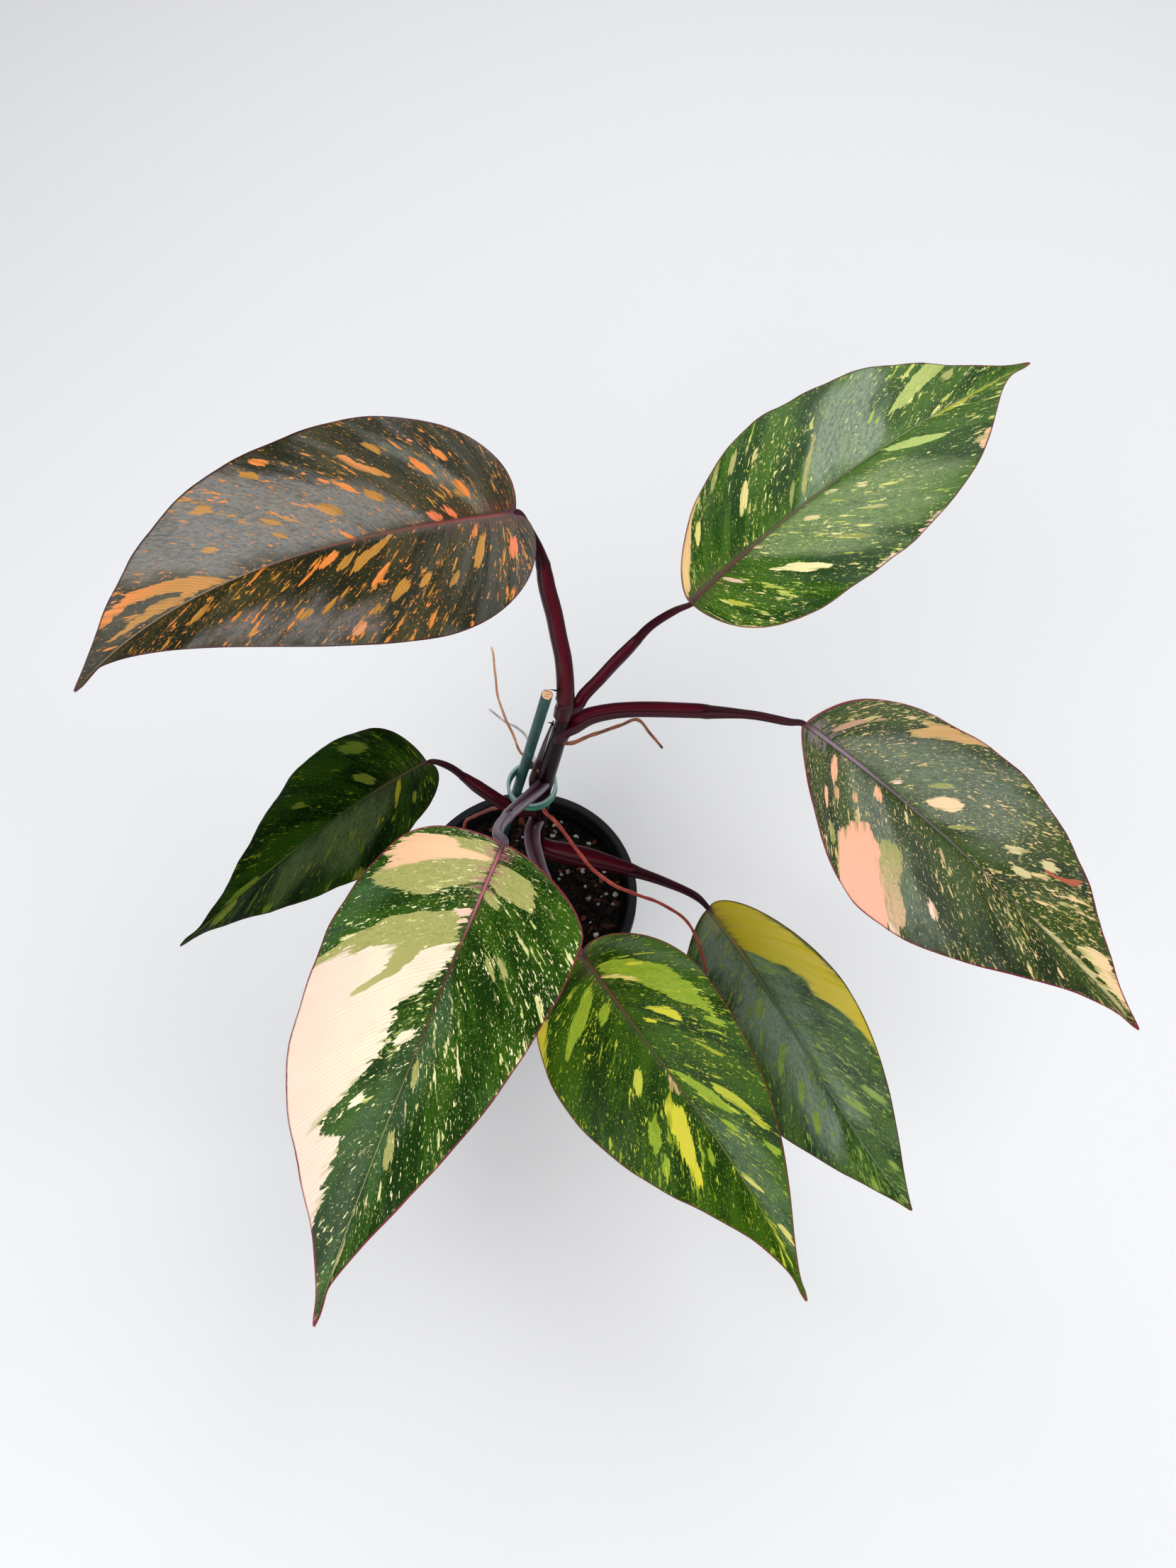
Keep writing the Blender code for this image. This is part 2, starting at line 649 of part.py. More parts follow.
def leaf_frame(leaf):
    """The blade's base, length, and its three directions: along, to the left and up."""
    base, tip = np.array(leaf.base, float), np.array(leaf.tip, float)
    length = float(np.linalg.norm(tip - base))
    along = (tip - base) / length
    level = unit(np.cross((0, 0, 1), along))
    upright = np.cross(along, level)
    roll = math.radians(leaf.roll)
    left = level * math.cos(roll) + upright * math.sin(roll)
    return base, length, along, left, np.cross(along, left)


def midrib_bow(leaf, share):
    """How far the midrib lies sideways and up from the straight line, at shares of the length."""
    bow = 4 * share * (1 - share)
    sway = leaf.sway * bow + leaf.twist_sway * SWAY_BACK * share * (1 - share) * (0.5 - share)
    return sway, leaf.arch * bow


def bent(leaf, x, y):
    """Places flat blade points (x along, y to the left, millimetres) on the bent blade.

    The midrib bows, each half rises by the fold and sinks again with the square of its distance out,
    and the edge has a low wave.
    """
    base, length, along, left, up = leaf_frame(leaf)
    share = np.clip(x / length, 0, 1)
    sway, arch = midrib_bow(leaf, share)
    ahead_sway, ahead_arch = midrib_bow(leaf, share + 0.001)
    tangent = unit(np.stack([0.001 * length + 0 * share, ahead_sway - sway, ahead_arch - arch], axis=-1))
    beside = unit(np.cross((0, 0, 1), tangent))
    normal = np.cross(tangent, beside)
    out = np.abs(y)
    fold = math.radians(leaf.fold)
    half_width = np.where(y > 0, leaf.left.width, leaf.right.width)
    start = np.where(y > 0, *EDGE_WAVE_STARTS)
    wave = EDGE_WAVE * np.sin(2 * math.pi * x / EDGE_WAVE_LENGTH + start) * (out / half_width) ** 3
    lift = out * math.sin(fold) - leaf.droop * 9 * (out / length) ** 2 + wave
    local = np.stack([share * length, sway, arch], axis=-1) + (x - share * length)[..., None] * tangent
    local = local + (y * math.cos(fold))[..., None] * beside + lift[..., None] * normal
    return base + local[..., :1] * along + local[..., 1:2] * left + local[..., 2:] * up


def blade_points(leaf):
    """The blade's surface: rows run along the side veins, from the midrib out to both edges."""
    length = leaf_frame(leaf)[1]
    reach = np.linspace(0, 1, BLADE_ROWS + 1)
    roots = length * (1 - (1 - reach) ** VEIN_SWEEP)
    across = np.linspace(0, 1, BLADE_COLUMNS + 1)
    halves = []
    for side, half in ((1, leaf.left), (-1, leaf.right)):
        outline = half_outline(half, length)
        steps = np.linspace(0, 1, OUTLINE_POINTS)
        edge_x = np.interp(reach, steps, outline[:, 0])
        edge_y = np.interp(reach, steps, outline[:, 1])
        x = roots[:, None] + (edge_x - roots)[:, None] * across
        y = side * edge_y[:, None] * across
        halves.append((x, y))
    x = np.hstack([halves[1][0][:, :0:-1], halves[0][0]])
    y = np.hstack([halves[1][1][:, :0:-1], halves[0][1]])
    return bent(leaf, x, y)


def make_blade(number, leaf, home):
    """One leaf blade: the bent surface, thickened downwards and more so along the midrib."""
    points = blade_points(leaf) * MM
    mesh = grid_mesh("blade", points)
    blade = add_piece("leaf_%d_blade" % number, mesh, "green_blade", home)
    group = blade.vertex_groups.new(name="midrib")
    rows, columns = points.shape[:2]
    for row in range(rows):
        group.add([row * columns + BLADE_COLUMNS], 1 - MIDRIB_TAPER * row / (rows - 1), "REPLACE")
    triangulate(mesh)
    if mesh.polygons[0].normal.z < 0:
        mesh.flip_normals()
    shell = blade.modifiers.new("Thickness", "SOLIDIFY")
    shell.thickness = MIDRIB_DEPTH
    shell.offset = -1
    shell.vertex_group = "midrib"
    shell.thickness_vertex_group = BLADE_THICKNESS / MIDRIB_DEPTH
    shade_round(applied(blade).data, 60)
    return blade


def make_petiole(number, leaf, home, cutters):
    """One leaf stalk, from the stem to the underside of the blade's base, cut clear of its neighbours."""
    base, _, along, _, up = leaf_frame(leaf)
    end = base - PETIOLE_DROP * up - PETIOLE_SETBACK * along
    route = (*leaf.petiole, tuple(end))
    stalk = tube("leaf_%d_petiole" % number, route, leaf.stalk_radii, "maroon_stalk", home, 17)
    cut(stalk, cutters)
    shade_round(stalk.data)
    return stalk


def make_plant():
    """Builds every piece, those that stay whole first and those that are cut to them after."""
    home = new_collection("potted_philodendron")
    cutter_home = new_collection("cutters")
    make_pot(home, cutter_home)
    stem = tube("stem", STEM_ROUTE, STEM_RADII, "maroon_stem", home, 22, 4)
    stake = tube("stake", (STAKE_FOOT, STAKE_TOP), (STAKE_RADIUS, STAKE_RADIUS), "green_paint", home, 2, 4)
    make_tie(home)
    stem_cutter = grown_cutter(stem, cutter_home)
    stake_cutter = grown_cutter(stake, cutter_home)
    standing = [stem_cutter, stake_cutter]
    stalk_cutters = []
    for number, leaf in reversed(list(enumerate(LEAVES, 1))):
        blade = make_blade(number, leaf, home)
        blade_cutter = grown_cutter(blade, cutter_home)
        stalk = make_petiole(number, leaf, home, [stem_cutter, blade_cutter] + stalk_cutters[-2:])
        stalk_cutters.append(grown_cutter(stalk, cutter_home))
    sheath = make_sheath(home, standing)
    root_cutters = standing + [grown_cutter(sheath, cutter_home)] + stalk_cutters
    for number, root in enumerate(ROOTS, 1):
        name = "root_%d_%s" % (number, root.colour)
        made = tube(name, root.route, root.radii, "root_" + root.colour, home, 18, 2)
        cut(made, root_cutters)
        standing.append(grown_cutter(made, cutter_home))
    make_soil(home, standing)


def main():
    """Clears the scene and builds the plant."""
    for old in list(bpy.data.objects):
        bpy.data.objects.remove(old)
    make_plant()


main()
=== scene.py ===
"""Looks of the potted orange princess philodendron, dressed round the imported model.

Everything stands in the model's own frame, in metres with +Z up and the origin under the pot. Routes and
leaf sizes are kept in millimetres, as in the part's source, and are scaled by MM where a mesh is made.
"""
import logging
import math
from dataclasses import dataclass
from enum import Enum

import bmesh
import bpy
import numpy as np
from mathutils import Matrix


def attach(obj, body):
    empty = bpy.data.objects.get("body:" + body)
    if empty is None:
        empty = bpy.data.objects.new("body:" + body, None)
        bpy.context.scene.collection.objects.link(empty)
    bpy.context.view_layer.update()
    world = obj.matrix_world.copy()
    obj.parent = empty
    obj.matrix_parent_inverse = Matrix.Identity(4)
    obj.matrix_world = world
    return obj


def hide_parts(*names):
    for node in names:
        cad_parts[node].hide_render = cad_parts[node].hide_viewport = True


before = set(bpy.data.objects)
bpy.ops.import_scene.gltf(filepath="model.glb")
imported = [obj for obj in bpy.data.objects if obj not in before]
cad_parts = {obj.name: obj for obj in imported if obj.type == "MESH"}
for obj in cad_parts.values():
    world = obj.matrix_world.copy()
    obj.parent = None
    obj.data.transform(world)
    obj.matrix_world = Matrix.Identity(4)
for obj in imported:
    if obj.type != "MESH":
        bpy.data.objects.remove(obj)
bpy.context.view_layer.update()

MM = 0.001
MAP_UNIT = 100
LEAST_END = 0.02
LENS_CORNERS = 12
BODY = "root"

Colour = tuple[float, float, float, float]
Point = tuple[float, float, float]

log = logging.getLogger("potted_philodendron")


def paint(red: int, green: int, blue: int) -> Colour:
    """A display colour of 0 to 255 a channel as linear light.

    Args:
        red, green, blue: the display values.

    Returns:
        The linear colour, with alpha 1.
    """
    shown = np.array([red, green, blue]) / 255
    linear = np.where(shown <= 0.04045, shown / 12.92, ((shown + 0.055) / 1.055) ** 2.4)
    return (*linear.tolist(), 1.0)


def unit(vectors: np.ndarray) -> np.ndarray:
    """Vectors scaled to length one."""
    return vectors / np.linalg.norm(vectors, axis=-1, keepdims=True)


def smooth_step(low: float, high: float, values: np.ndarray) -> np.ndarray:
    """0 below low, 1 above high, and 3t^2 - 2t^3 between them."""
    t = np.clip((values - low) / (high - low), 0, 1)
    return t * t * (3 - 2 * t)


def bell(away: np.ndarray, spread: float | np.ndarray) -> np.ndarray:
    """1 at no distance, and less away from there, down to 1/e at the spread."""
    return np.exp(-(away / spread) ** 2)


def run_along(points: np.ndarray) -> np.ndarray:
    """The length from the first point to each point."""
    steps = np.linalg.norm(np.diff(points, axis=0), axis=1)
    return np.concatenate([[0.0], np.cumsum(steps)])


def round_turn(count: int) -> np.ndarray:
    """Even angles once round, in radians."""
    return 2 * np.pi * np.arange(count) / count


def both_faces(across: np.ndarray) -> tuple[np.ndarray, np.ndarray]:
    """A ring that runs over one face of a sheet and back along the other.

    Args:
        across: places on the first face, from edge to edge.

    Returns:
        The places round the ring, and which face each is on, as 0 or 1.
    """
    back = across[-2:0:-1]
    return np.concatenate([across, back]), np.repeat([0.0, 1.0], [len(across), len(back)])


# Paths, tubes and closed meshes


@dataclass(frozen=True)
class Path:
    """Points along a curve in millimetres, with the directions along it, up from it and beside it."""

    points: np.ndarray
    along: np.ndarray
    upward: np.ndarray
    beside: np.ndarray

    @property
    def run(self) -> np.ndarray:
        """The length from the start to each point."""
        return run_along(self.points)


def smooth_route(knots: np.ndarray, count: int) -> np.ndarray:
    """Points on a centripetal Catmull-Rom curve through the knots.

    Each point is the last of three rounds of straight blends between neighbouring knots, each blend
    weighted by the root of the distances between them.

    Args:
        knots: the given points, one a row.
        count: how many points to read.

    Returns:
        The points, one a row.
    """
    knots = np.asarray(knots, float)
    knots = np.concatenate([2 * knots[:1] - knots[1:2], knots, 2 * knots[-1:] - knots[-2:-1]])
    steps = np.sqrt(np.linalg.norm(np.diff(knots, axis=0), axis=1))
    times = np.concatenate([[0.0], np.cumsum(steps)])
    t = np.linspace(times[1], times[-2], count)
    first = np.clip(np.searchsorted(times, t) - 2, 0, len(knots) - 4)
    near = first[:, None] + np.arange(4)
    places = list(np.moveaxis(knots[near], 1, 0))
    at = times[near].T

    def blend(low: int, high: int, start: np.ndarray, end: np.ndarray) -> np.ndarray:
        """The straight blend from start at one knot's time to end at another's."""
        share = ((t - at[low]) / (at[high] - at[low]))[:, None]
        return start + (end - start) * share

    round_one = [blend(i, i + 1, places[i], places[i + 1]) for i in range(3)]
    round_two = [blend(i, i + 2, round_one[i], round_one[i + 1]) for i in range(2)]
    return blend(1, 2, *round_two)


def path_through(knots: np.ndarray, count: int, up: Point = (0, 0, 1)) -> Path:
    """A smooth path through the knots, with its own directions at every point.

    Args:
        knots: the given points in millimetres.
        count: how many points the path has.
        up: the direction that upward follows as nearly as it can.

    Returns:
        The path.
    """
    points = smooth_route(knots, count)
    along = unit(np.gradient(points, axis=0))
    beside = unit(np.cross(along, up))
    return Path(points, along, np.cross(beside, along), beside)


def swept(path: Path, radius: np.ndarray) -> np.ndarray:
    """A tube's grid: at each point of the path, a ring at the given radii.

    A ring's point is centre + radius * (cos a * upward + sin a * beside), with a going once round.

    Args:
        path: the middle of the tube.
        radius: radii in millimetres, one row for each point of the path.

    Returns:
        The grid of points, rows along the path.
    """
    turn = round_turn(radius.shape[1])
    ring = np.cos(turn)[:, None] * path.upward[:, None] + np.sin(turn)[:, None] * path.beside[:, None]
    return path.points[:, None] + radius[..., None] * ring


def round_end(run: np.ndarray, radius: np.ndarray) -> np.ndarray:
    """Radii that close like a ball over the last radius of the length, down to a small share of it.

    Args:
        run: the length from the start to each row.
        radius: one radius for each row.

    Returns:
        The changed radii.
    """
    left = np.clip((run[-1] - run) / radius, 0, 1)
    return radius * np.sqrt(np.clip(1 - (1 - left) ** 2, LEAST_END ** 2, 1))


def closed_tube(
    name: str, grid: np.ndarray, uv: np.ndarray, values: dict[str, np.ndarray]
) -> bpy.types.Mesh:
    """A closed mesh from a grid whose rows are rings, with a pole at each end.

    Args:
        name: the mesh's name.
        grid: points in millimetres, rows by columns, where the last column joins the first.
        uv: map places, rows by columns plus one, so that the map does not fold back at the join.
        values: attributes by name, a number or a colour for each grid point, or what spreads to that.

    Returns:
        The mesh, with its faces outwards and shaded smooth.
    """
    rows, columns = grid.shape[:2]
    body = np.arange(rows * columns).reshape(rows, columns)
    row, column = np.mgrid[0:rows - 1, 0:columns]
    after = (column + 1) % columns
    quads = np.stack(
        [body[row, column], body[row, after], body[row + 1, after], body[row + 1, column]], axis=-1)
    ring = np.arange(columns)
    ahead = (ring + 1) % columns
    start_pole, end_pole = (np.full(columns, rows * columns + i) for i in range(2))
    start = np.stack([body[0, ahead], body[0], start_pole], axis=-1)
    end = np.stack([body[-1], body[-1, ahead], end_pole], axis=-1)
    poles = [grid[:1].mean(axis=1), grid[-1:].mean(axis=1)]
    points = np.concatenate([grid.reshape(-1, 3), *poles]) * MM
    corners = points[quads.reshape(-1, 4)] - points.mean(axis=0)
    volume = np.einsum("ij,ij->i", corners[:, 0], np.cross(corners[:, 1], corners[:, 3])).sum()
    faces = [*quads.reshape(-1, 4).tolist(), *start.tolist(), *end.tolist()]
    mesh = bpy.data.meshes.new(name)
    mesh.from_pydata(points.tolist(), [], faces)
    quad_uv = np.stack(
        [uv[row, column], uv[row, column + 1], uv[row + 1, column + 1], uv[row + 1, column]], axis=2)
    near, far = uv[:, ring], uv[:, ring + 1]
    start_uv = np.stack([far[0], near[0], (near[0] + far[0]) / 2], axis=1)
    end_uv = np.stack([near[-1], far[-1], (near[-1] + far[-1]) / 2], axis=1)
    layer = mesh.uv_layers.new(name="UVMap")
    all_uv = np.concatenate([part.reshape(-1, 2) for part in (quad_uv, start_uv, end_uv)])
    layer.data.foreach_set("uv", all_uv.astype(np.float32).ravel())
    for key, value in values.items():
        write_attribute(mesh, key, value, grid.shape[:2])
    if volume <= 0:
        mesh.flip_normals()
    mesh.shade_smooth()
    return mesh


def write_attribute(
    mesh: bpy.types.Mesh, key: str, value: np.ndarray, shape: tuple[int, int]
) -> None:
    """Stores one number or colour for each grid point, and the end rings' means at the poles.

    Args:
        mesh: the mesh of a closed tube.
        key: the attribute's name.
        value: numbers, or colours with four channels, that fit the grid.
        shape: the grid's rows and columns.
    """
    colour = value.ndim == 3
    full = np.broadcast_to(value, (*shape, 4) if colour else shape)
    ends = np.stack([full[0].mean(axis=0), full[-1].mean(axis=0)])
    flat = np.concatenate([full.reshape(-1, 4) if colour else full.ravel(), ends]).astype(np.float32)
    made = mesh.attributes.new(key, "FLOAT_COLOR" if colour else "FLOAT", "POINT")
    made.data.foreach_set("color" if colour else "value", flat.ravel())


def wrap_map(length: np.ndarray, columns: int) -> np.ndarray:
    """A tube's map: how far round from 0 to 1, and the length along it in units of 100 mm."""
    around = np.linspace(0, 1, columns + 1)
    return np.stack(np.broadcast_arrays(around[None], (length / MAP_UNIT)[:, None]), axis=-1)


def turned_grid(profile: np.ndarray, columns: int) -> np.ndarray:
    """A turned surface's grid: each (radius, height) of the profile is swept round the Z axis.

    Args:
        profile: (radius, height) points in millimetres, one a row.
        columns: how many points go round.

    Returns:
        The grid of points, rows along the profile.
    """
    turn = round_turn(columns)
    radius, height = profile[:, :1], profile[:, 1:]
    x, y = radius * np.cos(turn), radius * np.sin(turn)
    return np.stack([x, y, np.broadcast_to(height, x.shape)], axis=-1)


def rounded_profile(corners: list[tuple[float, float, float]], steps: int = 5) -> np.ndarray:
    """A profile with its corners rounded: near each corner it follows a quadratic Bezier curve.

    Args:
        corners: (radius, height, rounding) of each corner in millimetres.
        steps: how many points make one rounded corner.

    Returns:
        The (radius, height) points.
    """
    places = np.array([corner[:2] for corner in corners], float)
    made = [places[:1]]
    t = np.linspace(0, 1, steps)[:, None]
    for i in range(1, len(corners) - 1):
        here = places[i]
        back, ahead = places[i - 1] - here, places[i + 1] - here
        start = here + unit(back) * min(corners[i][2], np.linalg.norm(back) * 0.45)
        end = here + unit(ahead) * min(corners[i][2], np.linalg.norm(ahead) * 0.45)
        made.append((1 - t) ** 2 * start + 2 * t * (1 - t) * here + t * t * end)
    made.append(places[-1:])
    return np.concatenate(made)


def place_object(name: str, data: bpy.types.ID) -> bpy.types.Object:
    """A new object in the scene that shows the data.

    Args:
        name: the object's name.
        data: its mesh, camera or light.

    Returns:
        The object.
    """
    made = bpy.data.objects.new(name, data)
    bpy.context.scene.collection.objects.link(made)
    return made


def add_piece(
    name: str, mesh: bpy.types.Mesh, material: bpy.types.Material, slot: str, *nodes: str
) -> bpy.types.Object:
    """Puts a finished piece in the scene, on the body, in place of the model's plain solids.

    Args:
        name: the piece's name.
        mesh: its mesh, already in place.
        material: its finish.
        slot: the material slot that it belongs to; not used.
        nodes: the model's nodes that it stands for.

    Returns:
        The object, at the origin.
    """
    piece = place_object(name, mesh)
    mesh.materials.append(material)
    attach(piece, BODY)
    if nodes:
        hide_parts(*nodes)
    log.info("%s: %d faces", name, len(mesh.polygons))
    return piece


# Shader maths


class Value:
    """A shader value, where sums, differences and products add their Math nodes."""

    def __init__(self, graph: "Graph", socket: bpy.types.NodeSocket) -> None:
        """Keeps the graph and the output socket."""
        self.graph = graph
        self.socket = socket

    def _math(self, operation: str, left: "Value | float", right: "Value | float") -> "Value":
        """One Math node on two values."""
        return self.graph.node("ShaderNodeMath", {"operation": operation}, {0: left, 1: right})

    def __add__(self, other: "Value | float") -> "Value":
        """self + other."""
        return self._math("ADD", self, other)

    def __sub__(self, other: "Value | float") -> "Value":
        """self - other."""
        return self._math("SUBTRACT", self, other)

    def __rsub__(self, other: float) -> "Value":
        """other - self."""
        return self._math("SUBTRACT", other, self)

    def __mul__(self, other: "Value | float") -> "Value":
        """self * other."""
        return self._math("MULTIPLY", self, other)

    __radd__ = __add__
    __rmul__ = __mul__

    def at_least(self, other: "Value | float") -> "Value":
        """The larger of the two."""
        return self._math("MAXIMUM", self, other)

    def step(self, low: float, high: float) -> "Value":
        """0 below low, 1 above high, and smooth between; the other way round if low is above high.

        Args:
            low, high: where it is 0 and where it is 1.

        Returns:
            The stepped value.
        """
        ends = {1: low, 2: high, 3: 0, 4: 1} if low < high else {1: high, 2: low, 3: 1, 4: 0}
        settings = {"interpolation_type": "SMOOTHSTEP"}
        return self.graph.node("ShaderNodeMapRange", settings, {0: self, **ends})


class Graph:
    """The node tree of one material or sky, built from expressions."""

    def __init__(self, owner: bpy.types.Material | bpy.types.World) -> None:
        """Empties the owner's nodes.

        Args:
            owner: the material or world that the nodes belong to.
        """
        self.owner = owner
        owner.use_nodes = True
        self.tree = owner.node_tree
        self.tree.nodes.clear()

    @classmethod
    def named(cls, name: str) -> "Graph":
        """The graph of a new material of that name."""
        return cls(bpy.data.materials.new(name))

    def node(self, kind: str, settings: dict, inputs: dict, output: int = 0) -> Value:
        """Adds a node.

        Args:
            kind: the node's type.
            settings: its own settings, which are made first.
            inputs: by socket name or number, a value, a number, a colour or a vector.
            output: which of its outputs is returned.

        Returns:
            That output.
        """
        made = self.tree.nodes.new(kind)
        for key, value in settings.items():
            setattr(made, key, value)
        for key, value in inputs.items():
            if isinstance(value, Value):
                self.tree.links.new(value.socket, made.inputs[key])
            else:
                made.inputs[key].default_value = value
        return Value(self, made.outputs[output])

    def attribute(self, name: str, colour: bool = False) -> Value:
        """A number or a colour stored on the mesh."""
        settings = {"attribute_type": "GEOMETRY", "attribute_name": name}
        return self.node("ShaderNodeAttribute", settings, {}, 0 if colour else 2)

    def object_place(self) -> Value:
        """The place on the piece, in metres."""
        return self.node("ShaderNodeTexCoord", {}, {}, 3)

    def map_place(self) -> Value:
        """The place on the piece's own map."""
        return self.node("ShaderNodeUVMap", {"uv_map": "UVMap"}, {})

    def axis(self, vector: Value, number: int) -> Value:
        """One of a vector's three numbers."""
        return self.node("ShaderNodeSeparateXYZ", {}, {0: vector}, number)

    def wave(self, kind: str, turn: Value) -> Value:
        """The SINE or COSINE of a value in radians."""
        return self.node("ShaderNodeMath", {"operation": kind}, {0: turn})

    def noise(
        self, place: Value, scale: float | Point, seed: float = 0, detail: float = 2, rough: float = 0.5
    ) -> Value:
        """A cloud pattern about 0.5.

        Args:
            place: where it is read.
            scale: how many cells it has for each unit of the place, in all directions or in each.
            seed: shifts the pattern.
            detail: how many finer layers it has.
            rough: how strong the finer layers are.

        Returns:
            The pattern.
        """
        cells = scale if isinstance(scale, tuple) else (scale, scale, scale)
        shift = (seed * 7.3, seed * 3.1, seed * 11.7)
        operation = {"operation": "MULTIPLY_ADD"}
        stretched = self.node("ShaderNodeVectorMath", operation, {0: place, 1: cells, 2: shift})
        inputs = {"Vector": stretched, "Scale": 1, "Detail": detail, "Roughness": rough}
        return self.node("ShaderNodeTexNoise", {}, inputs)

    def mix(self, share: "Value | float", first: "Value | Colour", second: "Value | Colour") -> Value:
        """The first colour where share is 0, the second where it is 1."""
        return self.node("ShaderNodeMix", {"data_type": "RGBA"}, {0: share, 6: first, 7: second}, 2)

    def bump(self, height: Value, distance: float, strength: float = 1) -> Value:
        """A relief of that height, where 1 stands for distance in metres."""
        inputs = {"Height": height, "Distance": distance, "Strength": strength}
        return self.node("ShaderNodeBump", {}, inputs)

    def finish(self, **inputs: "Value | float | Colour") -> bpy.types.Material:
        """Ends the graph in a Principled shader.

        Args:
            inputs: its sockets, with underscores for the spaces in their names.

        Returns:
            The material.
        """
        named = {key.replace("_", " "): value for key, value in inputs.items()}
        shader = self.node("ShaderNodeBsdfPrincipled", {}, named)
        ending = self.tree.nodes.new("ShaderNodeOutputMaterial")
        self.tree.links.new(shader.socket, ending.inputs["Surface"])
        return self.owner


# Leaf markings


class Side(Enum):
    """A half of a blade, as the sign of its distance from the midrib."""

    LEFT = 1
    RIGHT = -1


class Layer(Enum):
    """Which coat of a blade a marking is in: painted sheen, half-pale, pale, or over all of them.

    The painted sheen is grey or grey-green patches painted into the colour where the leaf would catch a
    highlight.
    """

    BLOOM = "bloom"
    MIDDLE = "middle"
    PALE = "pale"
    OVER = "over"


@dataclass(frozen=True)
class Marking:
    """One large marking, as a polygon in the blade's vein coordinates.

    corners are (reach, across): reach runs from 0 at the leaf stalk to 1 at the tip, in even steps of
    the margin, and across from 0 at the midrib to 1 at the margin, along a side vein. tint is its
    colour, and rim the colour it turns to towards the margin.
    """

    side: Side
    layer: Layer
    tint: Colour
    corners: tuple[tuple[float, float], ...]
    rim: Colour | None = None


def lenses(side: Side, layer: Layer, tint: Colour, *sizes: tuple[float, ...]) -> list[Marking]:
    """Lens-shaped markings along the veins.

    Args:
        side, layer, tint: as in Marking.
        sizes: for each lens its middle's reach and across, its half width in reach and its half
            length in across.

    Returns:
        The markings.
    """
    turn = round_turn(LENS_CORNERS)
    made = []
    for reach, across, wide, long in sizes:
        corners = np.stack([reach + wide * np.cos(turn), across + long * np.sin(turn)], axis=1)
        made.append(Marking(side, layer, tint, tuple(map(tuple, corners.tolist()))))
    return made


def polygon_distance(points: np.ndarray, corners: np.ndarray) -> np.ndarray:
    """How deep points lie inside a polygon, and minus their distance from it outside.

    The distance is to the nearest of the sides, and a point is inside when a ray along the first
    direction crosses the sides an odd number of times.

    Args:
        points: flat points, one a row.
        corners: the polygon's corners, one a row.

    Returns:
        One signed distance for each point.
    """
    start, end = corners, np.roll(corners, -1, axis=0)
    side = end - start
    offset = points[:, None] - start
    share = np.clip((offset * side).sum(-1) / (side * side).sum(-1), 0, 1)
    distance = np.linalg.norm(offset - share[..., None] * side, axis=-1).min(axis=1)
    level = points[:, None, 1]
    crosses = (start[:, 1] > level) != (end[:, 1] > level)
    rise = np.where(side[:, 1] == 0, 1e-9, side[:, 1])
    at = start[:, 0] + (level - start[:, 1]) * side[:, 0] / rise
    inside = (crosses & (points[:, None, 0] < at)).sum(axis=1) % 2 == 1
    return np.where(inside, distance, -distance)


# Leaf blades


@dataclass(frozen=True)
class Half:
    """One half of a blade's outline, in millimetres, as in the part's source."""

    width: float
    widest_at: float
    lobe: tuple[float, float]
    shoulder: float
    flank: float
    taper: tuple[float, float]

    TIP_HALF_WIDTH = 1.1
    TIP_LENGTH = 4.5

    def outline(self, length: float, count: int = 400) -> np.ndarray:
        """Evenly spaced points from the leaf stalk to the tip.

        Two cubic Bezier curves meet at the widest place. Near the tip the half is kept wide enough for
        a blunt drip tip, by the cube root of the sum of the two widths' cubes.

        Args:
            length: the blade's length.
            count: how many points.

        Returns:
            The (along, out) points.
        """
        widest = (self.widest_at, self.width)
        back, out = self.lobe
        ahead, beside = self.taper
        t = np.linspace(0, 1, count)[:, None]
        shares = ((1 - t) ** 3, 3 * t * (1 - t) ** 2, 3 * t * t * (1 - t), t ** 3)
        inner = ((0, 0), (-back, out), (self.widest_at - self.shoulder, self.width), widest)
        outer = (
            widest, (self.widest_at + self.flank, self.width), (length - ahead, beside), (length, 0))
        curves = [sum(share * np.array(point) for share, point in zip(shares, points))
                  for points in (inner, outer)]
        points = np.concatenate([curves[0], curves[1][1:]])
        left = np.clip((length - points[:, 0]) / self.TIP_LENGTH, 0, 4)
        tip = self.TIP_HALF_WIDTH * np.sqrt(np.clip(left, 0, 1)) * smooth_step(4, 1, left)
        points[:, 1] = np.cbrt(np.clip(points[:, 1], 0, None) ** 3 + tip ** 3)
        run = run_along(points)
        even = np.linspace(0, run[-1], count)
        return np.stack([np.interp(even, run, points[:, axis]) for axis in range(2)], axis=1)


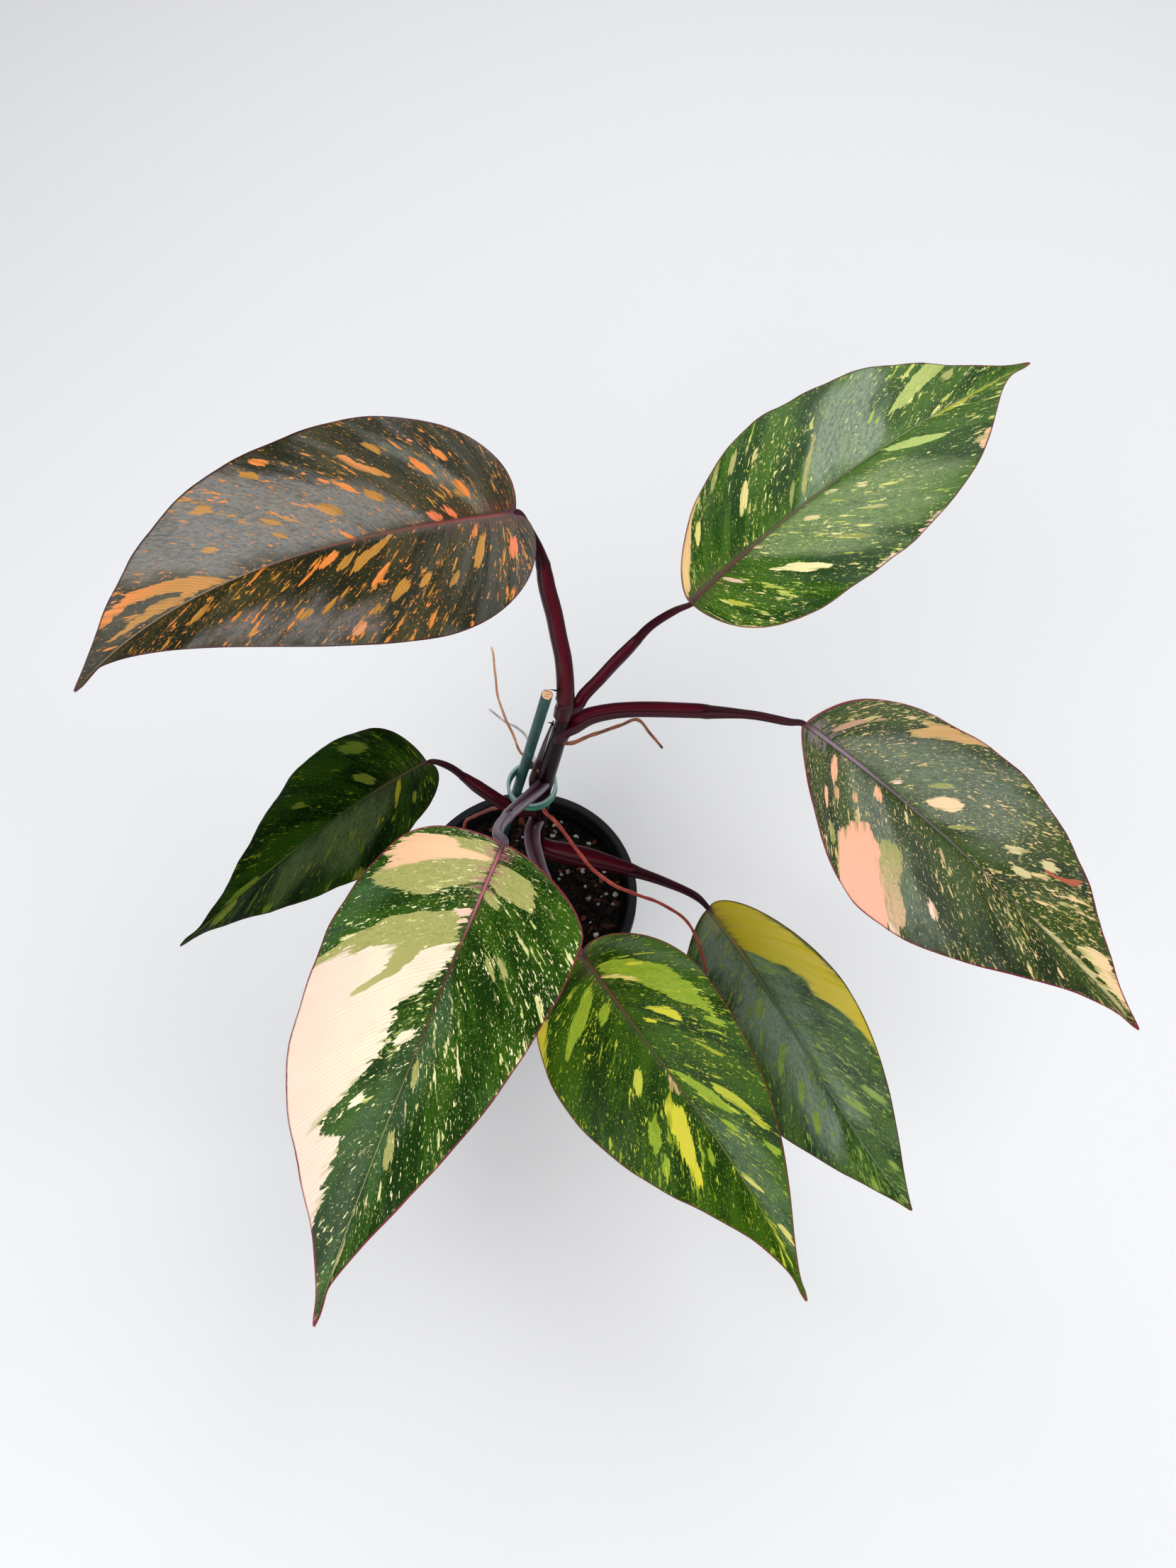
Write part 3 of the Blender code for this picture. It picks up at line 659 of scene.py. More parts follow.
@dataclass(frozen=True)
class BladeShape:
    """How one blade lies and bends, in millimetres and degrees, as in the part's source."""

    base: Point
    tip: Point
    roll: float
    fold: float
    arch: float
    sway: float
    twist_sway: float
    droop: float
    left: Half
    right: Half

    SWAY_BACK = 10.4
    EDGE_WAVE = 1.0
    EDGE_WAVE_LENGTH = 48
    EDGE_WAVE_STARTS = (0.4, 2.3)

    @property
    def length(self) -> float:
        """The straight length from the base to the tip."""
        return float(np.linalg.norm(np.subtract(self.tip, self.base)))

    @property
    def margin(self) -> float:
        """The mean length of the two halves' margins."""
        outlines = [half.outline(self.length) for half in (self.left, self.right)]
        return sum(np.linalg.norm(np.diff(line, axis=0), axis=1).sum() for line in outlines) / 2

    def axes(self) -> tuple[np.ndarray, np.ndarray, np.ndarray]:
        """The directions along the blade, to its left and up from it.

        Returns:
            Three directions, each of length one.
        """
        along = unit(np.subtract(self.tip, self.base))
        level = unit(np.cross((0, 0, 1), along))
        upright = np.cross(along, level)
        roll = math.radians(self.roll)
        left = level * math.cos(roll) + upright * math.sin(roll)
        return along, left, np.cross(along, left)

    def bow(self, share: np.ndarray) -> tuple[np.ndarray, np.ndarray]:
        """How far the midrib lies sideways and up at shares of the length: 4s(1 - s) bows.

        Args:
            share: shares of the length, from 0 to 1.

        Returns:
            The sideways and the upward distances in millimetres.
        """
        bow = 4 * share * (1 - share)
        back = self.SWAY_BACK * share * (1 - share) * (0.5 - share)
        return self.sway * bow + self.twist_sway * back, self.arch * bow

    def place(self, x: np.ndarray, y: np.ndarray, z: np.ndarray) -> np.ndarray:
        """Puts flat blade points on the bent blade.

        The midrib bows. Each half rises by the fold and sinks again with the square of its distance
        out, and the margin has a low wave, the cube of the distance out times a sine along the blade.

        Args:
            x: millimetres along the midrib.
            y: millimetres to the left of it.
            z: millimetres above the surface.

        Returns:
            Points in the model's frame, in millimetres.
        """
        along, left, up = self.axes()
        length = self.length
        share = np.clip(x / length, 0, 1)
        sway, arch = self.bow(share)
        ahead_sway, ahead_arch = self.bow(share + 0.001)
        step = np.full(share.shape, 0.001 * length)
        tangent = unit(np.stack([step, ahead_sway - sway, ahead_arch - arch], axis=-1))
        beside = unit(np.cross((0, 0, 1), tangent))
        normal = np.cross(tangent, beside)
        out = np.abs(y)
        fold = math.radians(self.fold)
        half_width = np.where(y > 0, self.left.width, self.right.width)
        start = np.where(y > 0, *self.EDGE_WAVE_STARTS)
        wave = np.sin(2 * np.pi * x / self.EDGE_WAVE_LENGTH + start) * (out / half_width) ** 3
        wave = self.EDGE_WAVE * wave
        lift = out * math.sin(fold) - self.droop * 9 * (out / length) ** 2 + wave + z
        local = np.stack([share * length, sway, arch], axis=-1)
        local = local + (x - share * length)[..., None] * tangent
        local = local + (y * math.cos(fold))[..., None] * beside + lift[..., None] * normal
        return self.base + local[..., :1] * along + local[..., 1:2] * left + local[..., 2:] * up


class Veins:
    """Patterns on a blade's map, cut fine across the side veins and long along them.

    The map's first direction runs across the side veins and the second along them.
    """

    def __init__(self, graph: Graph, seed: float) -> None:
        """Reads the map.

        Args:
            graph: the graph that the patterns are added to.
            seed: shifts all of the patterns.
        """
        self.graph = graph
        self.seed = seed
        self.place = graph.map_place()

    def streaks(
        self, across: float, along: float, seed: float, detail: float = 2, rough: float = 0.5
    ) -> Value:
        """A pattern with that many cells a millimetre across the veins and along them."""
        scale = (across * MAP_UNIT, along * MAP_UNIT, 0)
        return self.graph.noise(self.place, scale, self.seed + seed, detail, rough)

    def threads(self, spacing: float, sharp: float, seed: float) -> Value:
        """Thin lines along the veins, about that many millimetres apart: the crests of a sine."""
        phase = self.graph.axis(self.place, 0) * (2 * math.pi * MAP_UNIT / spacing)
        return self.graph.wave("SINE", phase + self.streaks(0.12, 0.015, seed) * 22).step(sharp, 1.0)


@dataclass(frozen=True)
class LeafFinish:
    """A leaf's colours, and how thickly it is flecked.

    deep and green are the two shades of its ground, fleck and spark those of its flecks, rib_base,
    rib_middle and rib_tip those of its midrib, margin that of its edge, under that of its lower side,
    vein that of the fine lines in its pale parts, and collar that of its foot. flecks and dashes go
    from 0 to 1, and so does the strength of its painted sheen: grey or grey-green patches painted
    where the leaf would catch a highlight. soft and rib_width are half widths in millimetres, over
    which a marking fades out and of the midrib's colour, and jag is how far a marking's edge is
    ragged.
    """

    deep: Colour
    green: Colour
    fleck: Colour
    spark: Colour
    rib_base: Colour
    rib_middle: Colour
    rib_tip: Colour
    margin: Colour
    under: Colour
    seed: float
    flecks: float = 0.5
    dashes: float = 0.5
    soft: float = 0.25
    jag: float = 8.0
    roughness: float = 0.34
    gloss: float = 0.5
    frost: float = 0.6
    rib_width: float = 0.6
    vein: Colour = (0.78, 0.36, 0.24, 1.0)
    collar: Colour = (0.07, 0.025, 0.035, 1.0)

    def ground(self, veins: Veins, clouds: Value, pores: Value) -> Value:
        """Two greens in clouds and grain, with fine lines, under a mottled painted sheen.

        The painted sheen is grey or grey-green patches painted into the colour where the leaf would
        catch a highlight.

        Args:
            veins: the blade's patterns.
            clouds: its slow pattern.
            pores: its finest pattern.

        Returns:
            The colour.
        """
        graph = veins.graph
        grain = veins.streaks(0.9, 0.05, 2, 3, 0.65)
        patches = (clouds + (grain - 0.5) * 0.35 + (pores - 0.5) * 0.5).step(0.36, 0.64)
        colour = graph.mix(patches, self.deep, self.green)
        colour = graph.mix(veins.threads(1.9, 0.4, 21) * 0.18, colour, self.deep)
        # painted sheen: grey or grey-green patches, mottled, painted into the colour where the leaf
        # would catch a highlight
        frost = (graph.attribute("bloom") + (veins.streaks(0.12, 0.06, 25, 3) - 0.5) * 30).step(-9, 9)
        frost = frost * (veins.streaks(1.1, 0.45, 26, 3, 0.7).step(0.3, 0.62) * 0.6 + 0.4)
        return graph.mix(frost * self.frost, colour, graph.attribute("bloom_tint", True))

    def half_pale(self, veins: Veins, pores: Value) -> Value:
        """The half-pale coat's colour, mottled with green.

        Args:
            veins: the blade's patterns.
            pores: its finest pattern.

        Returns:
            The colour.
        """
        graph = veins.graph
        tint = graph.attribute("middle_tint", True)
        mottle = veins.streaks(0.7, 0.2, 22, 3, 0.6).step(0.5, 0.62)
        tint = graph.mix(mottle * 0.35, tint, graph.mix(0.45, tint, self.green))
        return graph.mix(pores.step(0.5, 0.7) * 0.2, tint, self.green)

    def flecked(self, veins: Veins, colour: Value, middle: Value) -> tuple[Value, Value]:
        """Adds dust, flecks, dashes and bars along the veins, crowded here and there.

        Args:
            veins: the blade's patterns.
            colour: what they lie on.
            middle: where the half-pale coat is, which has no halo round its dashes.

        Returns:
            The colour, and where the marks are.
        """
        graph = veins.graph
        crowd = (veins.streaks(0.04, 0.03, 7) - 0.5) * 0.5
        thin = 0.72 - 0.10 * self.flecks
        wide = 0.74 - 0.10 * self.dashes
        dust = (veins.streaks(1.9, 0.9, 9, 1, 0.4) + crowd * 0.3).step(thin + 0.02, thin + 0.05) * 0.8
        fine = (veins.streaks(0.85, 0.34, 8) + crowd * 0.5).step(thin, thin + 0.02)
        dashes = veins.streaks(0.42, 0.11, 10, 3, 0.55) + crowd * 0.5
        bars = (veins.streaks(0.24, 0.05, 11, 3, 0.6) + crowd * 0.3).step(wide + 0.01, wide + 0.02)
        marks = dust.at_least(fine).at_least(dashes.step(wide, wide + 0.012)).at_least(bars)
        halo = dashes.step(wide - 0.06, wide) * 0.35
        fleck = graph.mix(veins.streaks(0.3, 0.09, 12).step(0.38, 0.62), self.fleck, self.spark)
        colour = graph.mix(halo * (1 - middle), colour, self.fleck)
        return graph.mix(marks, colour, fleck), marks

    def pale(self, veins: Veins, depth: Value) -> Value:
        """The pale coat's colour, with fine lines, a flush, and green stains near its edge.

        Args:
            veins: the blade's patterns.
            depth: how deep a place lies in the pale coat.

        Returns:
            The colour.
        """
        graph = veins.graph
        warm = graph.attribute("pale_rim", True)
        flush = graph.mix(0.25, warm, self.vein)
        shade = veins.streaks(0.06, 0.05, 6).step(0.3, 0.7)
        tint = graph.mix(shade * 0.3, graph.attribute("pale_tint", True), warm)
        tint = graph.mix(veins.streaks(0.1, 0.05, 27, 3, 0.6).step(0.5, 0.68) * 0.3, tint, flush)
        tint = graph.mix(veins.threads(1.25, 0.66, 5) * 0.7, tint, graph.mix(0.2, flush, self.vein))
        stain = depth.step(5, 0) * veins.streaks(0.5, 0.04, 23, 3, 0.6).step(0.52, 0.57)
        return graph.mix(stain * 0.7, tint, graph.mix(0.5, self.fleck, self.green))

    def ribbed(self, veins: Veins, colour: Value, pale: Value) -> Value:
        """Adds the midrib, its shadow, the rays at its foot and the collar.

        Args:
            veins: the blade's patterns.
            colour: what they lie on.
            pale: where the pale coat is, which has less shadow.

        Returns:
            The colour.
        """
        graph = veins.graph
        length, rib = graph.attribute("along"), graph.attribute("rib")
        rays = veins.streaks(0.7, 0.02, 13).step(0.47, 0.6) * length.step(0.2, 0.02)
        colour = graph.mix(rays * (rib * 0.1).step(0.75, 0.03) * 0.85, colour, self.rib_base)
        tint = graph.mix(length.step(0.12, 0.26), self.rib_base, self.rib_middle)
        tint = graph.mix(length.step(0.4, 0.6), tint, self.rib_tip)
        width = self.rib_width * (0.3 + 0.7 * length.step(0.55, 0.0))
        width = width + (veins.streaks(3.0, 3.0, 24) - 0.5) * 0.3
        shadow = (rib - width * 2.1).step(0.3, -0.3) * length.step(0.95, 0.7) * (0.75 - 0.5 * pale)
        colour = graph.mix(shadow, colour, graph.mix(0.35, self.deep, self.rib_middle))
        line = (rib - width).step(0.14, -0.14) * length.step(1.0, 0.85)
        colour = graph.mix(line * 0.9, colour, tint)
        return graph.mix((rib + length * 90).step(3.4, 0.8) * 0.85, colour, self.collar)

    def edged(self, veins: Veins, colour: Value) -> Value:
        """Adds the coloured line along the margin and at the tip, and the paler lower side.

        Args:
            veins: the blade's patterns.
            colour: what they lie on.

        Returns:
            The colour.
        """
        graph = veins.graph
        brush = veins.streaks(0.08, 0.02, 14).step(0.3, 0.7)
        line = graph.attribute("edge").step(0.75, 0.3) * (0.65 + 0.35 * brush)
        colour = graph.mix(line, colour, self.margin)
        colour = graph.mix(graph.attribute("along").step(0.965, 0.995) * 0.8, colour, self.margin)
        return graph.mix(graph.attribute("below"), colour, graph.mix(0.62, colour, self.under))

    def material(self, name: str) -> bpy.types.Material:
        """Builds the blade's material, coat by coat.

        Args:
            name: the material's name.

        Returns:
            The material.
        """
        graph = Graph.named(name)
        veins = Veins(graph, self.seed)
        clouds = veins.streaks(0.07, 0.03, 1, 3)
        pores = graph.noise(graph.object_place(), 1250, self.seed, 2, 0.6)
        coarse = veins.streaks(0.2, 0.08, 3) - 0.5
        teeth = veins.streaks(0.75, 0.16, 4, 3, 0.65) - 0.5
        ragged = coarse * self.jag + teeth * (1.8 * self.jag)
        pale_depth = graph.attribute("pale") + ragged
        middle = (graph.attribute("middle") + ragged).step(-self.soft, self.soft)
        pale = pale_depth.step(-self.soft, self.soft)
        over = (graph.attribute("over") + ragged * 0.5).step(-self.soft, self.soft)

        colour = graph.mix(middle, self.ground(veins, clouds, pores), self.half_pale(veins, pores))
        colour, marks = self.flecked(veins, colour, middle)
        colour = graph.mix(pale, colour, self.pale(veins, pale_depth))
        colour = graph.mix(over, colour, graph.attribute("over_tint", True))
        colour = self.edged(veins, self.ribbed(veins, colour, pale))

        crinkle = veins.streaks(0.32, 0.12, 16) * 1.6
        skin = graph.noise(graph.object_place(), 1900, self.seed, 1)
        relief = crinkle + veins.streaks(2.0, 0.03, 15) * 0.45 + skin * 0.3 + marks * 0.08
        below = graph.attribute("below")
        rough = self.roughness + (clouds - 0.5) * 0.15 + below * 0.2 + pale * 0.05
        return graph.finish(
            Base_Color=colour, Roughness=rough, Normal=graph.bump(relief, 0.00016, 0.7),
            Coat_Weight=self.gloss * 0.15, Coat_Roughness=0.25, Specular_IOR_Level=self.gloss)


@dataclass(frozen=True)
class Blade:
    """A leaf blade: a thin sheet whose rows of points follow its side veins."""

    number: int
    shape: BladeShape
    finish: LeafFinish
    markings: tuple[Marking, ...]
    rows: int = 150
    columns: int = 30
    thickness: float = 0.55
    keel_depth: float = 1.7
    keel_width: float = 1.6
    groove_depth: float = 0.55
    groove_width: float = 1.3
    vein_reach: float = 2.2
    vein_bow: float = 0.07
    pleat_depth: float = 0.09
    pleats: float = 12
    across_veins: float = 3.0

    NO_COAT = -40.0

    def flat_grid(self) -> dict[str, np.ndarray]:
        """The flat blade's grid, row by row along the side veins and round both faces.

        A side vein starts on the midrib at length * reach ** vein_reach, ends on the margin at that
        reach, and bows back by vein_bow of its length.

        Returns:
            By name: x and y in millimetres, reach, signed across, chord, edge distance, and below.
        """
        length = self.shape.length
        reach = np.linspace(0.003, 0.997, self.rows)
        even = np.linspace(0, 1, self.columns + 1)
        half = 0.5 * (even + 0.5 - 0.5 * np.cos(np.pi * even))
        top = np.concatenate([half[::-1], -half[1:]])
        signed, below = both_faces(top)
        across = np.abs(signed)
        root = length * reach ** self.vein_reach
        x, y, chords, edges = [], [], [], []
        for side, half_shape in ((1, self.shape.left), (-1, self.shape.right)):
            outline = half_shape.outline(length)
            steps = np.linspace(0, 1, len(outline))
            edge_x, edge_y = (np.interp(reach, steps, outline[:, axis]) for axis in range(2))
            chord = np.hypot(edge_x - root, edge_y)
            bow = self.vein_bow * chord * edge_y / (edge_y + 8)
            side_x = root[:, None] + (edge_x - root)[:, None] * across
            side_x = side_x - bow[:, None] * 4 * across * (1 - across)
            side_y = edge_y[:, None] * across
            apart = np.hypot(side_x[..., None] - outline[:, 0], side_y[..., None] - outline[:, 1])
            x.append(side_x)
            y.append(side_y * side)
            chords.append(np.broadcast_to(chord[:, None], side_x.shape))
            edges.append(apart.min(axis=-1))
        flat = {"signed": signed, "reach": reach[:, None], "below": below}
        flat = {key: np.broadcast_to(value, x[0].shape) for key, value in flat.items()}
        halves = {"x": x, "y": y, "chord": chords, "edge": edges}
        return flat | {key: np.where(flat["signed"] >= 0, *pair) for key, pair in halves.items()}

    def relief(self, flat: dict[str, np.ndarray]) -> np.ndarray:
        """Height above the plain surface in millimetres.

        Pleats are sines along the margin that fade at the midrib. The midrib lies in a groove, a bell
        curve of the distance from it. The lower face is a sheet's thickness down, thinner at the
        margin, with a keel under the midrib.

        Args:
            flat: the flat grid.

        Returns:
            One height for each grid point.
        """
        share = np.clip(flat["x"] / self.shape.length, 0, 1)
        out = np.abs(flat["y"])
        across = np.abs(flat["signed"])
        phase = np.where(flat["signed"] >= 0, 0.3, 1.7) + self.finish.seed
        turns = 2 * np.pi * self.pleats * flat["reach"]
        beat = np.sin(turns + phase) + 0.5 * np.sin(2.3 * turns + 2 * phase)
        fade = smooth_step(0, 0.35, across) * smooth_step(0.02, 0.2, flat["reach"])
        beat = beat * fade * smooth_step(1, 0.7, share)
        ruffle = 0.35 * np.sin(2 * np.pi * flat["x"] / 19 + phase) * across ** 6
        slim = 1 - 0.5 * share
        groove = (1 - 0.75 * share) * bell(out, self.groove_width * slim)
        keel = (1 - 0.85 * share) * bell(out, self.keel_width * slim)
        upper = self.pleat_depth * beat + ruffle * smooth_step(1, 0.8, share)
        upper = upper - self.groove_depth * groove
        rim = np.clip(flat["edge"] / 0.9, 0, 1)
        thick = self.thickness * np.clip(flat["chord"] / 4, 0.2, 1) * np.sqrt(1 - (1 - rim) ** 2)
        keel = self.keel_depth * keel * np.clip(flat["chord"] / 6, 0, 1)
        return upper - flat["below"] * (thick + keel)

    def coats(self, flat: dict[str, np.ndarray]) -> dict[str, np.ndarray]:
        """Each coat's depth and colour, from the signed distances to its markings.

        Distances count across_veins times as much across the veins as along them, so that a ragged
        edge runs out along the veins.

        Args:
            flat: the flat grid.

        Returns:
            Attributes by name.
        """
        across = np.abs(flat["signed"])
        stretch = self.shape.margin * self.across_veins
        points = np.stack([flat["reach"] * stretch, across * flat["chord"]], axis=-1).reshape(-1, 2)
        share = smooth_step(0.35, 1.0, across)[..., None]
        made = {}
        for layer in Layer:
            depth = np.full(across.shape, self.NO_COAT)
            tint, rim = np.zeros((2, *across.shape, 4))
            for marking in (m for m in self.markings if m.layer is layer):
                mine = np.sign(flat["signed"] + 1e-9) == marking.side.value
                chords = flat["chord"][:, 0 if marking.side is Side.LEFT else self.columns + 1]
                corners = np.array(marking.corners)
                widths = np.interp(corners[:, 0], flat["reach"][:, 0], chords)
                corners = np.stack([corners[:, 0] * stretch, corners[:, 1] * widths], axis=1)
                inside = polygon_distance(points, corners).reshape(across.shape)
                found = np.where(mine, inside, self.NO_COAT)
                wins = found > depth
                depth = np.where(wins, found, depth)
                far = np.array(marking.rim or marking.tint)
                blended = np.array(marking.tint) * (1 - share) + far * share
                tint = np.where(wins[..., None], blended, tint)
                rim = np.where(wins[..., None], far, rim)
            made[layer.value] = depth
            made[layer.value + "_tint"] = tint
            if layer is Layer.PALE:
                made["pale_rim"] = rim
        return made

    def mesh(self) -> bpy.types.Mesh:
        """The closed sheet, with its vein map and its markings.

        Returns:
            The mesh.
        """
        flat = self.flat_grid()
        grid = self.shape.place(flat["x"], flat["y"], self.relief(flat))
        places = [flat["reach"] * self.shape.margin, flat["signed"] * flat["chord"]]
        uv = np.stack(places, axis=-1) / MAP_UNIT
        uv = np.concatenate([uv, uv[:, :1]], axis=1)
        values = {
            "edge": flat["edge"],
            "rib": np.abs(flat["y"]),
            "along": np.clip(flat["x"] / self.shape.length, 0, 1),
            "below": flat["below"],
            **self.coats(flat),
        }
        return closed_tube("leaf_%d" % self.number, grid, uv, values)

    def dress(self) -> bpy.types.Object:
        """Builds the blade and puts it in place of its solid.

        Returns:
            The object.
        """
        material = self.finish.material("leaf_%d_skin" % self.number)
        name, slot = "leaf_%d" % self.number, "blade_%d" % self.number
        return add_piece(name, self.mesh(), material, slot, name + "_blade")


# Stalks, stem, bract and roots


@dataclass(frozen=True)
class StalkFinish:
    """The skin of stalks and stem: a dark red body, greyer on its ridges, with long fine lines."""

    body: Colour
    ridge: Colour
    groove: Colour
    seed: float
    roughness: float = 0.34
    gloss: float = 0.2

    def material(self, name: str) -> bpy.types.Material:
        """Builds the skin.

        The map's first direction is turned to a circle, so that the lines meet behind the stalk.

        Args:
            name: the material's name.

        Returns:
            The material.
        """
        graph = Graph.named(name)
        place = graph.map_place()
        turn = graph.axis(place, 0) * (2 * math.pi)
        circle = {0: graph.wave("COSINE", turn), 1: graph.wave("SINE", turn), 2: graph.axis(place, 1)}
        skin = graph.node("ShaderNodeCombineXYZ", {}, circle)
        lines = graph.noise(skin, (4.5, 4.5, 2.5), self.seed, 3, 0.6)
        patches = graph.noise(skin, (0.9, 0.9, 5), self.seed + 3, 2)
        colour = graph.mix(lines.step(0.4, 0.72) * 0.35, self.body, self.ridge)
        colour = graph.mix(patches.step(0.45, 0.75) * 0.4, colour, self.groove)
        colour = graph.mix(graph.attribute("hollow"), colour, self.groove)
        colour = graph.mix(graph.attribute("wing"), colour, self.ridge)
        dots = graph.noise(skin, (3.2, 3.2, 26), self.seed + 5, 1).step(0.72, 0.78)
        colour = graph.mix(dots * 0.5, colour, self.ridge)
        relief = lines + dots * 0.4
        return graph.finish(
            Base_Color=colour, Roughness=self.roughness + (lines - 0.5) * 0.2,
            Normal=graph.bump(relief, 0.00018, 0.7), Specular_IOR_Level=self.gloss)


@dataclass(frozen=True)
class Stalk:
    """A leaf stalk: a tube that starts as an open sheath with two wings, and ends under its blade."""

    number: int
    route: tuple[Point, ...]
    radii: tuple[float, ...]
    shape: BladeShape
    finish: StalkFinish
    sheath_share: float = 0.4
    wing: float = 0.25
    hollow: float = 0.45
    open_angle: float = 50
    rows: int = 120
    columns: int = 28
    drop: float = 1.3
    tuck: float = 7.0

    NECK_SHARE = 0.74
    END_SHARE = 0.35
    WING_SPREAD = 17
    HOLLOW_SPREAD = 0.62
    GROOVE_DEPTH = 0.12
    GROOVE_SPREAD = 25

    def mesh(self) -> bpy.types.Mesh:
        """The tube.

        Its radius round the ring is R * (1 + wing * two bells beside the top - hollow * one bell at
        the top), where the bells fade out at the end of the sheath. It narrows to NECK_SHARE before
        the blade, and to END_SHARE under it.

        Returns:
            The mesh.
        """
        along, _, up = self.shape.axes()
        base = np.array(self.shape.base)
        end = [
            base - self.drop * up - 0.4 * along,
            base + 0.5 * self.tuck * along - (self.drop + 0.8) * up,
            base + self.tuck * along - (self.drop + 0.6) * up,
        ]
        path = path_through(np.array([*self.route, *end]), self.rows)
        run = path.run
        share = run / run[-1]
        own = np.interp(share, np.linspace(0, 1 - self.tuck / run[-1], len(self.radii)), self.radii)
        full = smooth_step(run[-1], run[-1] - self.tuck, run)
        own = own * (self.END_SHARE + (1 - self.END_SHARE) * full)
        full = smooth_step(run[-1] - self.tuck, run[-1] - 2.2 * self.tuck, run)
        own = own * (self.NECK_SHARE + (1 - self.NECK_SHARE) * full)
        own = own * (1 + 0.08 * smooth_step(0.02, 0, np.abs(share - self.sheath_share)))
        turn = np.linspace(0, 360, self.columns, endpoint=False)
        turn = np.minimum(turn, 360 - turn)
        sheath = smooth_step(self.sheath_share + 0.012, self.sheath_share - 0.03, share)[:, None]
        wing = bell(turn - self.open_angle, self.WING_SPREAD) * sheath
        hollow = bell(turn, self.open_angle * self.HOLLOW_SPREAD) * sheath
        groove = self.GROOVE_DEPTH * bell(turn, self.GROOVE_SPREAD) * (1 - sheath)
        radius = round_end(run, own)[:, None] * (1 + self.wing * wing - self.hollow * hollow - groove)
        grid = swept(path, radius)
        values = {"wing": wing * 0.85, "hollow": hollow}
        return closed_tube("stalk_%d" % self.number, grid, wrap_map(path.run, self.columns), values)

    def dress(self) -> bpy.types.Object:
        """Builds the stalk and puts it in place of its solid.

        Returns:
            The object.
        """
        name = "stalk_%d" % self.number
        node = "leaf_%d_petiole" % self.number
        return add_piece(name, self.mesh(), self.finish.material(name + "_skin"), "stalk_skin", node)


STEM_ROUTE = (
    (1.5, 22.5, 45), (3, 21, 75), (4.5, 19, 100), (8.4, 14.4, 145), (10.6, 11.2, 170), (16.2, 12.6, 200),
    (19.9, 13.2, 220), (20.2, 12.6, 236),
)


@dataclass(frozen=True)
class Stem:
    """The climbing stem: a tube with a swollen ring at each leaf's place."""

    finish: StalkFinish
    radii: tuple[float, ...] = (3.6, 4.0, 3.9, 3.5, 3.35, 3.3, 3.0, 1.6)
    joints: tuple[float, ...] = (100, 132, 146, 175, 211, 224, 237)
    rows: int = 260
    columns: int = 40

    JOINT_SPREAD = 3.2
    SCAR_SPREAD = 0.5
    SCAR_RISE = 3.4

    def mesh(self) -> bpy.types.Mesh:
        """The tube, whose radius has a bell at each joint with a fine scar line above it.

        Returns:
            The mesh.
        """
        path = path_through(np.array(STEM_ROUTE), self.rows, (0, -1, 0))
        height = path.points[:, 2]
        radius = np.interp(np.linspace(0, 1, self.rows), np.linspace(0, 1, len(self.radii)), self.radii)
        swell = sum(bell(height - joint, self.JOINT_SPREAD) for joint in self.joints)
        scar = sum(bell(height - joint - self.SCAR_RISE, self.SCAR_SPREAD) for joint in self.joints)
        radius = radius * (1 + 0.07 * swell - 0.05 * scar)
        turn = round_turn(self.columns)
        uneven = 1 + 0.02 * np.sin(3 * turn + height[:, None] / 17)
        uneven = uneven + 0.012 * np.sin(7 * turn - height[:, None] / 9)
        grid = swept(path, round_end(path.run, radius)[:, None] * uneven)
        values = {"wing": 0.4 * scar[:, None], "hollow": np.zeros(1)}
        return closed_tube("stem", grid, wrap_map(path.run, self.columns), values)

    def dress(self) -> bpy.types.Object:
        """Builds the stem and puts it in place of its solid."""
        material = self.finish.material("stem_skin")
        return add_piece("plant_stem", self.mesh(), material, "stem_skin", "stem")


@dataclass(frozen=True)
class Bract:
    """The dry sheath that stands at the stem: part of a funnel with a pointed top."""

    finish: StalkFinish
    foot_height: float = 164
    tip_height: float = 213
    facing: float = 143
    tip_half_angle: float = 5
    spread: float = 42
    tip_radius: float = 4.0
    stand_off: float = 2.7
    thickness: float = 0.55
    rows: int = 70
    columns: int = 24

    def mesh(self) -> bpy.types.Mesh:
        """The closed shell.

        At a share s of its height it stands tip_radius + stand_off * (1 - s) * min(1, 4s) from the
        stem's middle, and spans tip_half_angle + spread * (1 - s) ** 0.7 to each side.

        Returns:
            The mesh.
        """
        share = np.linspace(0, 1, self.rows)
        height = self.foot_height + (self.tip_height - self.foot_height) * share
        stem = smooth_route(np.array(STEM_ROUTE), 400)
        middle = np.stack([np.interp(height, stem[:, 2], stem[:, axis]) for axis in range(3)], axis=1)
        off = self.tip_radius + self.stand_off * (1 - share) * np.minimum(1, 4 * share)
        half = np.radians(self.tip_half_angle + self.spread * (1 - share) ** 0.7)
        signed, inner = both_faces(np.linspace(-1, 1, self.columns + 1))
        angle = math.radians(self.facing) + signed * half[:, None]
        rim = np.abs(signed) ** 8
        radius = off[:, None] + self.thickness * (0.5 - inner) * np.sqrt(1 - signed ** 6) + 0.25 * rim
        level = np.zeros_like(radius)
        ring = np.stack([np.cos(angle) * radius, np.sin(angle) * radius, level], axis=-1)
        grid = middle[:, None] + ring
        edge = np.concatenate([signed, signed[:1]])
        places = np.broadcast_arrays(0.25 + 0.2 * edge[None], (height / MAP_UNIT)[:, None])
        values = {"wing": 0.9 * rim, "hollow": 0.8 * inner}
        return closed_tube("bract", grid, np.stack(places, axis=-1), values)

    def dress(self) -> bpy.types.Object:
        """Builds the bract and puts it in place of its solid."""
        material = self.finish.material("bract_skin")
        return add_piece("bract", self.mesh(), material, "bract_skin", "sheath")


